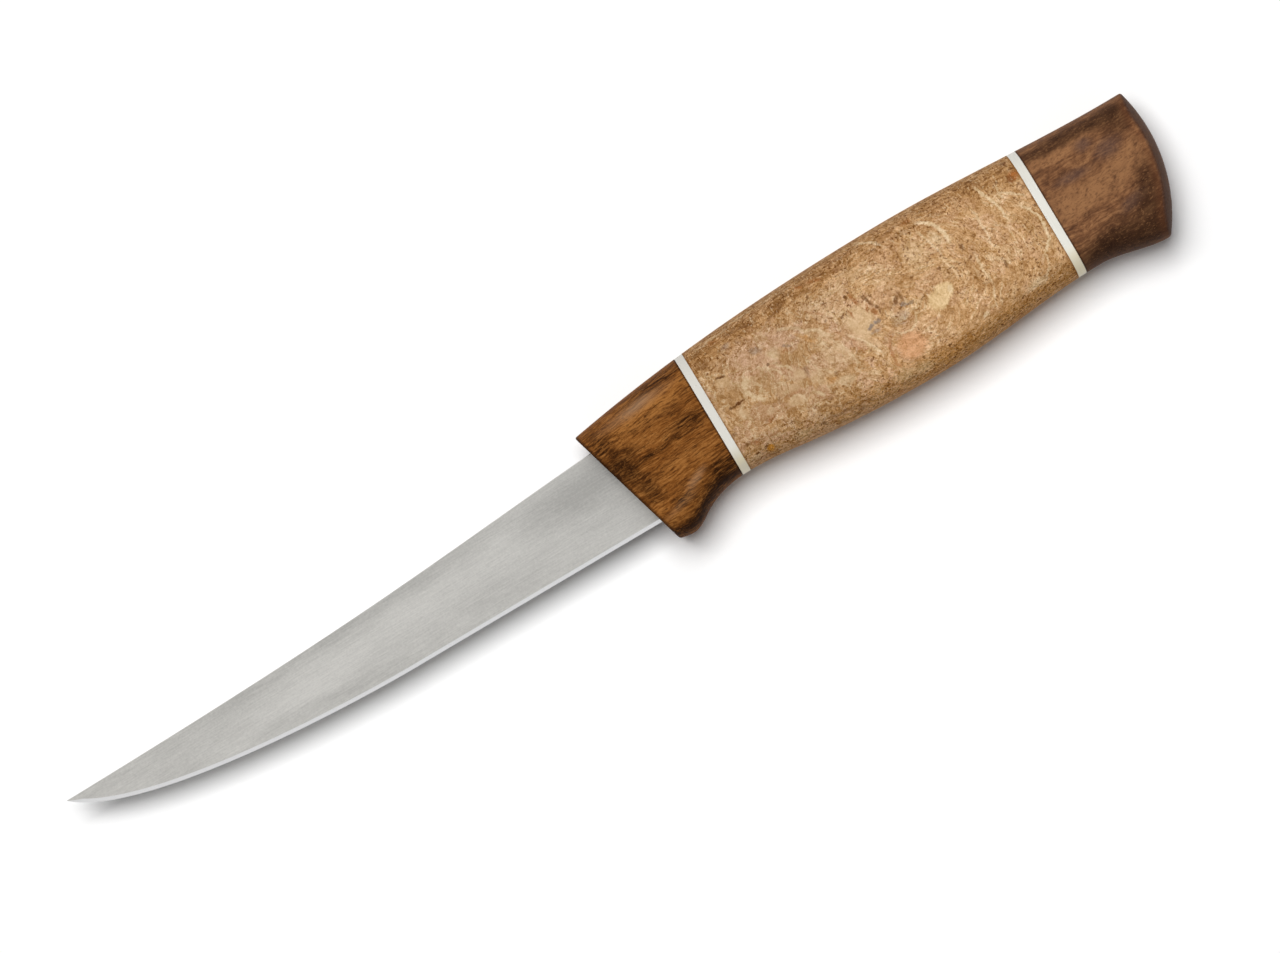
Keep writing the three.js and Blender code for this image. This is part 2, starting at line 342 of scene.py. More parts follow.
    def warp(self, point: Feed, scale: float, reach: float) -> bpy.types.NodeSocket:
        """Push a point about by soft noise.

        Args:
            point: The point.
            scale: Lumps per unit of the point.
            reach: How far it is pushed at most.

        Returns:
            The new point.
        """
        feeds = {"Vector": point, "Scale": scale, "Detail": 1.0}
        push = self.join(*self.channels(self.node("ShaderNodeTexNoise", None, feeds).outputs["Color"]))
        centred = self.node("ShaderNodeVectorMath", {"operation": "SUBTRACT"}, {0: push, 1: [NOISE_MEAN] * 3})
        feeds = {0: centred.outputs[0], 1: [reach / NOISE_MEAN] * 3, 2: point}
        return self.node("ShaderNodeVectorMath", {"operation": "MULTIPLY_ADD"}, feeds).outputs[0]

    def channels(self, colour: Feed) -> tuple[Value, Value, Value]:
        """Take a colour apart."""
        made = self.node("ShaderNodeSeparateColor", None, {0: colour})
        return tuple(Value(self, socket) for socket in made.outputs)

    def blend(self, red: Value, green: Value, blue: Value) -> bpy.types.NodeSocket:
        """Put a colour together from three levels."""
        return self.node("ShaderNodeCombineColor", None, {0: red, 1: green, 2: blue}).outputs[0]

    def axes(self, point: Feed) -> tuple[Value, Value, Value]:
        """Take a point apart into x, y and z."""
        made = self.node("ShaderNodeSeparateXYZ", None, {0: point})
        return tuple(Value(self, socket) for socket in made.outputs)

    def join(self, x: Value, y: Value, z: Value) -> bpy.types.NodeSocket:
        """Put a point together from three values."""
        return self.node("ShaderNodeCombineXYZ", None, {0: x, 1: y, 2: z}).outputs[0]

    def reach(self, point: Feed, centre: Sequence[float], scale: Sequence[float]) -> Value:
        """Measure how far a point is from a centre.

        Args:
            point: The point.
            centre: The centre.
            scale: Length that counts as 1 on each axis.

        Returns:
            The distance.
        """
        feeds = {"Vector": point, "Location": centre, "Scale": scale}
        local = self.node("ShaderNodeMapping", {"vector_type": "TEXTURE"}, feeds).outputs[0]
        far = self.node("ShaderNodeVectorMath", {"operation": "LENGTH"}, {0: local})
        return Value(self, far.outputs["Value"])

    def ball(self, point: Feed, centre: Sequence[float], size: Sequence[float], turn: float = 0.0) -> Value:
        """Fade from 1 in the middle of a ball to 0 at its surface.

        Args:
            point: The point.
            centre: Middle of the ball.
            size: Its radius on each axis.
            turn: Angle in degrees by which it is turned about the depth axis.

        Returns:
            The fading value.
        """
        feeds = {"Vector": point, "Location": centre, "Rotation": (0, 0, math.radians(turn)), "Scale": size}
        local = self.node("ShaderNodeMapping", {"vector_type": "TEXTURE"}, feeds).outputs[0]
        made = self.node("ShaderNodeTexGradient", {"gradient_type": "SPHERICAL"}, {"Vector": local})
        return Value(self, made.outputs["Fac"])

    def bump(self, height: Value, reach: float, strength: float) -> bpy.types.NodeSocket:
        """Raise the surface by a height map.

        Args:
            height: The map, from 0 to 1.
            reach: Height of a full step in metres.
            strength: Share of the effect.

        Returns:
            The normal.
        """
        feeds = {"Height": height, "Distance": reach, "Strength": strength}
        return self.node("ShaderNodeBump", None, feeds).outputs["Normal"]

    def finish(self, **feeds: Feed) -> bpy.types.Material:
        """Close the tree with a Principled shader.

        Args:
            feeds: Its inputs, with _ for each space in their names.

        Returns:
            The finished material.
        """
        named = {name.replace("_", " "): feed for name, feed in feeds.items()}
        shader = self.node("ShaderNodeBsdfPrincipled", None, named)
        self.node("ShaderNodeOutputMaterial", None, {"Surface": shader.outputs[0]})
        return self.owner


@dataclass(frozen=True)
class Datum:
    """Where the knife's own origin lies in the frame."""

    joint: float
    axis: float
    middle: float

    @classmethod
    def from_frame(cls, guard_depth: float) -> "Datum":
        """Read the datum from the CAD nodes.

        Args:
            guard_depth: Depth of the finger guard below the handle's axis.

        Returns:
            The datum.
        """
        blade_low, blade_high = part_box("blade")
        return cls(
            joint=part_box("front_spacer")[0].x,
            axis=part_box("front_bolster")[0].y + guard_depth,
            middle=(blade_low.z + blade_high.z) / 2,
        )

    def place(self, x: float, height: float, depth: float) -> Vector:
        """Give a point of the knife in the frame."""
        return Vector((self.joint + x, self.axis + height, self.middle + depth))


@dataclass(frozen=True)
class Patch:
    """A soft spot on the near side of a block, in millimetres."""

    x: float
    y: float
    length: float
    width: float
    turn: float = 0.0
    softness: float = 0.35
    z: float = 11.0
    depth: float = 8.0

    def mask(self, graph: Graph, point: Feed, share: float = 1.0) -> Value:
        """Draw the spot.

        Args:
            graph: The material's graph.
            point: The point on the surface.
            share: Strength of the spot.

        Returns:
            The strength inside the spot and 0 outside.
        """
        outer = 1 + self.softness
        size = (self.length / 2 * outer, self.width / 2 * outer, self.depth * outer)
        ball = graph.ball(point, (self.x, self.y, self.z), size, self.turn)
        return ball.smooth(0.0, 2 * self.softness / outer, share)


@dataclass(frozen=True)
class Fibre:
    """A thin strand in an arc on the near side of a block, in millimetres.

    Its place is midway between its ends.
    """

    ENDLESS: ClassVar[float] = 1e6
    CORE: ClassVar[float] = 0.25
    END_SOFTNESS: ClassVar[float] = 0.3
    x: float
    y: float
    length: float
    turn: float
    bulge: float
    width: float = 0.6
    z: float = 11.0
    depth: float = 7.0

    def mask(self, graph: Graph, point: Feed, share: float) -> Value:
        """Draw the strand.

        Args:
            graph: The material's graph.
            point: The point on the surface.
            share: Strength of the strand.

        Returns:
            The strength on the strand and 0 beside it.
        """
        radius = self.length ** 2 / (8 * self.bulge) + self.bulge / 2
        turn = math.radians(self.turn)
        drop = radius - self.bulge
        centre = (self.x + drop * math.sin(turn), self.y - drop * math.cos(turn), self.z)
        reach = 2 * abs(radius)
        midway = abs(radius) / reach
        ring = abs(graph.ball(point, centre, (reach, reach, self.ENDLESS)) - midway)
        body = ring.smooth(self.width / reach, self.width / reach * self.CORE)
        spread = Patch(self.x, self.y, self.length, self.length, 0.0, self.END_SOFTNESS, self.z, self.depth)
        return body * spread.mask(graph, point, share)


class Tone(Enum):
    """Colours of the burl's marks, from those that lie undermost to those on top."""

    OAK = srgb(174, 132, 86)
    PINK = srgb(206, 164, 130)
    BEIGE = srgb(214, 180, 138)
    SALMON = srgb(212, 158, 114)
    STRAW = srgb(224, 191, 143)
    CREAM = srgb(226, 198, 158)
    SLATE = srgb(146, 126, 108)
    AMBER = srgb(196, 130, 44)
    RUST = srgb(154, 94, 46)
    UMBER = srgb(102, 62, 30)


Marks = tuple[tuple[Patch | Fibre, Tone, float], ...]


@dataclass(frozen=True)
class SatinSteel:
    """Blade steel, brushed lengthwise, with painted reflections."""

    level: float = 0.64
    spread: tuple[float, float] = (0.74, 1.16)
    tint: tuple[float, float, float] = (1.0, 0.98, 0.93)
    roughness: float = 0.36
    mid_shade: float = 0.58
    line_swing: float = 1.05
    grain_swing: float = 0.7
    band_swing: float = 0.16
    cloud_swing: float = 0.65
    # Painted reflections: soft patches of lighter and darker steel, with how far each moves the shade.
    painted_reflections: tuple[tuple[Patch, float], ...] = (
        (Patch(-29.0, 0.9, 21.0, 6.2, 3, 0.9, 0.0), -0.5),
        (Patch(-30.0, -9.0, 16.0, 6.0, 0, 0.9, 0.0), 0.08),
        (Patch(-92.0, -4.4, 44.0, 6.0, 4, 0.9, 0.0), 0.28),
        (Patch(-80.0, 1.4, 62.0, 3.0, 2, 0.9, 0.0), -0.28),
        (Patch(-88.0, -9.6, 30.0, 2.6, -4, 0.9, 0.0), -0.24),
        (Patch(-58.0, -3.0, 30.0, 6.0, 3, 0.9, 0.0), 0.16),
    )

    def material(self, datum: Datum) -> bpy.types.Material:
        """Make the finish.

        Args:
            datum: The knife's datum.

        Returns:
            The material.
        """
        graph = Graph.of_material("satin_steel")
        point = graph.knife_point(datum)
        lines = graph.noise(graph.stretch(point, (0.2, 3.6, 3.6)), 1.0, 3.0, 0.65)
        grain = graph.noise(point, 2.2, 2.0, 0.6)
        bands = graph.noise(graph.stretch(point, (0.012, 0.35, 0.35)), 1.0, 2.0)
        cloud = graph.noise(graph.stretch(point, (0.05, 0.12, 0.12)), 1.0, 2.0)
        shade = lines.swing(self.line_swing) + grain.swing(self.grain_swing) + bands.swing(self.band_swing)
        shade = shade + cloud.swing(self.cloud_swing) + self.mid_shade
        loose = graph.warp(point, 0.15, 1.0)
        # Lay in the painted reflections.
        for patch, share in self.painted_reflections:
            shade = shade + patch.mask(graph, loose) * share
        dark, light = [
            (*[self.level * share * tint for tint in self.tint], 1.0) for share in self.spread
        ]
        return graph.finish(
            Base_Color=graph.mix(shade, dark, light),
            Metallic=1.0,
            Roughness=self.roughness + lines.swing(0.1),
            Normal=graph.bump(lines, 0.02 * MM, 0.25),
        )


@dataclass(frozen=True)
class GroundEdge:
    """Bright steel of the ground edge bevel."""

    level: float = 0.88
    scratch_share: float = 0.9
    roughness: float = 0.24

    def material(self, datum: Datum) -> bpy.types.Material:
        """Make the finish.

        Args:
            datum: The knife's datum.

        Returns:
            The material.
        """
        graph = Graph.of_material("ground_edge")
        point = graph.knife_point(datum)
        scratches = graph.noise(graph.stretch(point, (2.2, 0.5, 0.5), 60), 1.0, 3.0)
        low = self.level * self.scratch_share
        colour = graph.mix(scratches, (low, low, low, 1.0), (self.level, self.level, self.level, 1.0))
        return graph.finish(
            Base_Color=colour,
            Metallic=1.0,
            Roughness=self.roughness + scratches.swing(0.1),
        )


@dataclass(frozen=True)
class Walnut:
    """Oiled walnut of the bolster, with fine lengthwise grain, painted sheen and painted shade."""

    pale: Colour = srgb(162, 108, 55)
    body: Colour = srgb(123, 74, 31)
    dark: Colour = srgb(82, 46, 19)
    # Dark brown of the pores, also laid on as painted shade.
    pore_and_shade: Colour = srgb(40, 21, 10)
    # Grey of the painted highlights.
    painted_sheen: Colour = srgb(170, 138, 108)
    roughness: float = 0.45
    grain_turn: float = 3.0
    # Strength of the painted shade along the underside and the front rim, and of the dark seam line; then the
    # widths of the rim's painted shade line and of the seam line.
    shade_and_seam_share: float = 0.7
    rim: tuple[float, float] = (0.9, 0.2)
    seam: tuple[float, float] = (-0.5, -0.12)
    front: float = -22.0
    front_slope: float = math.tan(math.radians(15.6))
    front_figure: tuple[Patch, ...] = (
        Patch(-19.2, 2.0, 8.0, 3.6, 0, 0.6),
        Patch(-20.6, -0.4, 6.4, 4.8, -10, 0.4),
        Patch(-19.4, -0.4, 5.8, 4.2, -15, 0.5),
        Patch(-18.0, -3.8, 5.6, 4.0, -35, 0.6),
        Patch(-17.2, -7.2, 4.4, 3.6, -50, 0.6),
    )
    # Dark patches: those under the guard, in the hollow behind it and low on the belly edge are painted
    # shade; the rest are dark figure.
    dark_figure_and_shade: tuple[Patch, ...] = (
        Patch(-6.6, -13.2, 10.0, 2.2, 22, 0.6),
        Patch(-12.6, -15.8, 6.0, 1.6, 5, 0.6),
        Patch(-12.4, -11.4, 4.4, 2.2, 0, 0.6),
        Patch(-2.2, -9.6, 7.0, 4.6, 10, 0.5),
        Patch(-2.0, -12.4, 12.0, 2.6, -8, 0.5),
        Patch(-13.0, -0.4, 12.0, 1.0, 3, 0.8),
        Patch(-4.0, 1.2, 8.0, 3.0, 3, 0.8),
        Patch(-5.0, 11.6, 18.0, 2.2, 5, 0.7),
        Patch(-8.0, -14.4, 18.0, 3.4, 25, 0.7, 6.0),
        Patch(-17.0, -16.6, 12.0, 2.6, 0, 0.7, 6.0),
        Patch(-21.5, 6.0, 5.0, 6.0, -15, 0.8),
    )
    # Pale patches: the two long ones near the top and the two by the guard are painted sheen; the one in the
    # middle is pale figure.
    pale_patches: tuple[Patch, ...] = (
        Patch(-11.0, 6.8, 22.0, 4.4, 6, 0.8),
        Patch(-8.0, 7.2, 17.0, 3.2, 6, 0.8),
        Patch(-10.2, -9.6, 5.4, 3.0, 25, 0.8),
        Patch(-15.0, -13.4, 5.6, 2.4, 12, 0.8),
        Patch(-9.0, -4.2, 10.0, 2.6, 4, 0.8),
    )
    # Painted shade along the underside of the guard.
    painted_underside_shade: tuple[Patch, ...] = (
        Patch(-2.0, -12.1, 8.0, 1.3, -2, 0.6),
        Patch(-7.2, -13.3, 6.0, 1.4, 22, 0.6),
        Patch(-10.6, -15.2, 5.4, 1.4, 33, 0.6),
        Patch(-13.6, -16.4, 6.4, 1.3, -2, 0.6),
    )
    # Painted highlights: sheen streaks near the top and by the guard, with their strengths.
    painted_highlights: tuple[tuple[Patch, float], ...] = (
        (Patch(-12.0, 9.1, 13.0, 2.0, 5, 1.0), 0.28),
        (Patch(-11.0, 9.4, 6.0, 1.2, 5, 1.0), 0.3),
        (Patch(-13.8, -12.0, 7.0, 1.3, 14, 1.0), 0.12),
        (Patch(-8.4, -9.0, 4.6, 1.3, 25, 1.0), 0.3),
    )

    def material(self, datum: Datum) -> bpy.types.Material:
        """Make the finish.

        Args:
            datum: The knife's datum.

        Returns:
            The material.
        """
        graph = Graph.of_material("walnut")
        point = graph.knife_point(datum)
        along, height, _ = graph.axes(point)
        loose = graph.warp(point, 0.3, 0.35)
        broad = graph.noise(graph.stretch(loose, (0.06, 0.5, 0.4), self.grain_turn), 1.0, 2.0)
        fine = graph.noise(graph.stretch(loose, (0.3, 2.8, 2.0), self.grain_turn), 1.0, 4.0, 0.65)
        mixed = fine * 0.7 + broad * 0.3
        colour = graph.ramp(mixed, (0.37, self.dark), (0.5, self.body), (0.64, self.pale))
        pale_share = fine.smooth(0.34, 0.62) * 0.65
        front_share = fine.smooth(0.64, 0.4) * 0.4 + 0.34
        dark_share = fine.smooth(0.6, 0.42) * 0.75 + 0.2
        colour = graph.spots(colour, self.pale, self.pale_patches, loose, pale_share)
        colour = graph.spots(colour, self.pore_and_shade, self.front_figure, loose, front_share)
        colour = graph.spots(colour, self.pore_and_shade, self.dark_figure_and_shade, loose, dark_share)
        pores = graph.noise(graph.stretch(loose, (0.45, 5.0, 3.5), self.grain_turn), 1.0, 2.0, 0.6)
        vessel = pores.smooth(0.57, 0.68)
        colour = graph.mix(vessel * 0.75, colour, self.pore_and_shade)
        speckle = graph.noise(graph.stretch(loose, (2.2, 5.0, 4.0), self.grain_turn), 1.0, 2.0)
        colour = graph.mix(speckle.smooth(0.5, 0.7) * 0.35, colour, self.dark)
        colour = graph.mix(speckle.smooth(0.46, 0.3) * 0.25, colour, self.pale)
        # Painted highlights in the sheen colour.
        for patch, share in self.painted_highlights:
            colour = graph.mix(patch.mask(graph, loose) * (fine * 0.8 + 0.6) * share, colour, self.painted_sheen)
        # Painted shade along the underside, then a painted shade line on the front rim and a dark line at the
        # seam.
        colour = graph.spots(colour, self.pore_and_shade, self.painted_underside_shade, point, self.shade_and_seam_share)
        rim = (along - self.front + height * self.front_slope).smooth(*self.rim)
        for line in (rim, along.smooth(*self.seam)):
            colour = graph.mix(line * self.shade_and_seam_share, colour, self.pore_and_shade)
        return graph.finish(
            Base_Color=colour,
            Roughness=self.roughness + fine.swing(0.2),
            Specular_IOR_Level=WOOD_SHINE,
            Normal=graph.bump(1 - vessel, 0.05 * MM, 0.3),
        )


@dataclass(frozen=True)
class DarkWalnut:
    """Oiled dark walnut of the pommel, mottled by cross figure, with painted sheen and painted shade."""

    pale: Colour = srgb(154, 110, 74)
    body: Colour = srgb(121, 82, 55)
    dark: Colour = srgb(86, 57, 40)
    # Dark brown of the pores, also laid on as painted shade.
    pore_and_shade: Colour = srgb(46, 28, 19)
    dusk: Colour = srgb(88, 68, 62)
    red: Colour = srgb(110, 66, 42)
    # Grey of the painted sheen on the domed butt.
    painted_butt_sheen: Colour = srgb(84, 67, 61)
    roughness: float = 0.45
    joint: float = 78.6
    seam: tuple[float, float] = (0.5, 0.12)
    seam_share: float = 0.6
    dome_centre: tuple[float, float, float] = (70.0, 4.5, 0.0)
    dome_radius: float = 33.6
    rim_start: float = 2.2
    rim_end: float = 0.6
    butt_start: float = 0.5
    dusk_figure: tuple[Patch, ...] = (
        Patch(85.4, 4.0, 7.0, 2.0, -3, 0.7),
        Patch(94.4, 5.4, 5.6, 3.6, 20, 0.7),
        Patch(93.4, -6.2, 5.6, 2.4, 12, 0.7),
        Patch(90.5, 8.2, 3.6, 2.4, 0, 0.7),
    )
    # Dark patches: the long one low on the belly edge is painted shade; the rest are dark figure.
    dark_figure_and_shade: tuple[Patch, ...] = (
        Patch(90.0, 11.5, 32.0, 3.0, -1, 0.5),
        Patch(98.5, 9.6, 8.0, 5.0, -10, 0.8),
        Patch(90.0, -14.0, 30.0, 4.6, -3, 0.7, 6.0),
        Patch(85.0, -11.2, 8.0, 3.4, 4, 0.7),
        Patch(92.0, -11.0, 26.0, 6.8, 4, 0.8),
        Patch(97.4, -5.4, 5.0, 11.0, -35, 0.7),
    )
    # Pale figure.
    pale_patches: tuple[Patch, ...] = (
        Patch(82.0, -0.2, 9.0, 5.8, 0, 0.7),
        Patch(85.0, -0.4, 13.0, 4.6, 2, 0.7),
        Patch(91.0, -0.4, 12.0, 5.0, 8, 0.8),
        Patch(97.0, 1.8, 7.0, 4.6, 15, 0.8),
        Patch(84.0, 8.5, 7.4, 0.6, 1, 0.6),
        Patch(86.0, 9.6, 14.0, 2.4, 0, 0.8),
    )

    def material(self, datum: Datum) -> bpy.types.Material:
        """Make the finish.

        Args:
            datum: The knife's datum.

        Returns:
            The material.
        """
        graph = Graph.of_material("dark_walnut")
        point = graph.knife_point(datum)
        along = graph.axes(point)[0]
        loose = graph.warp(point, 0.22, 0.6)
        streaks = graph.noise(graph.stretch(loose, (0.16, 2.2, 1.6), -1), 1.0, 4.0, 0.6)
        mottle = graph.noise(graph.stretch(loose, (0.45, 0.8, 0.7), 25), 1.0, 3.0, 0.55)
        mixed = streaks * 0.55 + mottle * 0.45
        colour = graph.ramp(mixed, (0.36, self.dark), (0.5, self.body), (0.64, self.pale))
        colour = graph.spots(colour, self.pale, self.pale_patches, loose, mottle.smooth(0.2, 0.58) * 0.75)
        colour = graph.spots(colour, self.dusk, self.dusk_figure, loose, 0.6)
        colour = graph.spots(colour, self.pore_and_shade, self.dark_figure_and_shade, loose, 0.95 - mottle * 0.5)
        pores = graph.noise(graph.stretch(loose, (0.7, 4.5, 3.5), -1), 1.0, 2.0)
        vessel = pores.smooth(0.58, 0.7)
        colour = graph.mix(vessel * 0.2, colour, self.pore_and_shade)
        speckle = graph.noise(graph.stretch(loose, (1.6, 3.2, 2.6), 10), 1.0, 2.0)
        colour = graph.mix(speckle.smooth(0.5, 0.7) * 0.5, colour, self.dark)
        colour = graph.mix(speckle.smooth(0.46, 0.3) * 0.32, colour, self.pale)
        dome = graph.reach(point, self.dome_centre, (1.0, 1.0, 1.0))
        near_rim = dome.smooth(self.dome_radius - self.rim_start, self.dome_radius - self.rim_end)
        colour = graph.mix(near_rim * 0.25, colour, self.red)
        pips = graph.noise(point, 2.2, 2.0, 0.6).smooth(0.45, 0.62)
        butt = dome.smooth(self.dome_radius - self.butt_start, self.dome_radius)
        # Painted sheen: the domed butt is greyed, more on the pips; then it is darkened between the pips as
        # end grain.
        colour = graph.mix(butt * (pips * 0.35 + 0.3), colour, self.painted_butt_sheen)
        colour = graph.mix(butt * (1 - pips) * 0.3, colour, self.pore_and_shade)
        colour = graph.mix((along - self.joint).smooth(*self.seam) * self.seam_share, colour, self.pore_and_shade)
        return graph.finish(
            Base_Color=colour,
            Roughness=self.roughness + mottle.swing(0.2),
            Specular_IOR_Level=WOOD_SHINE,
            Normal=graph.bump(1 - vessel, 0.04 * MM, 0.15),
        )


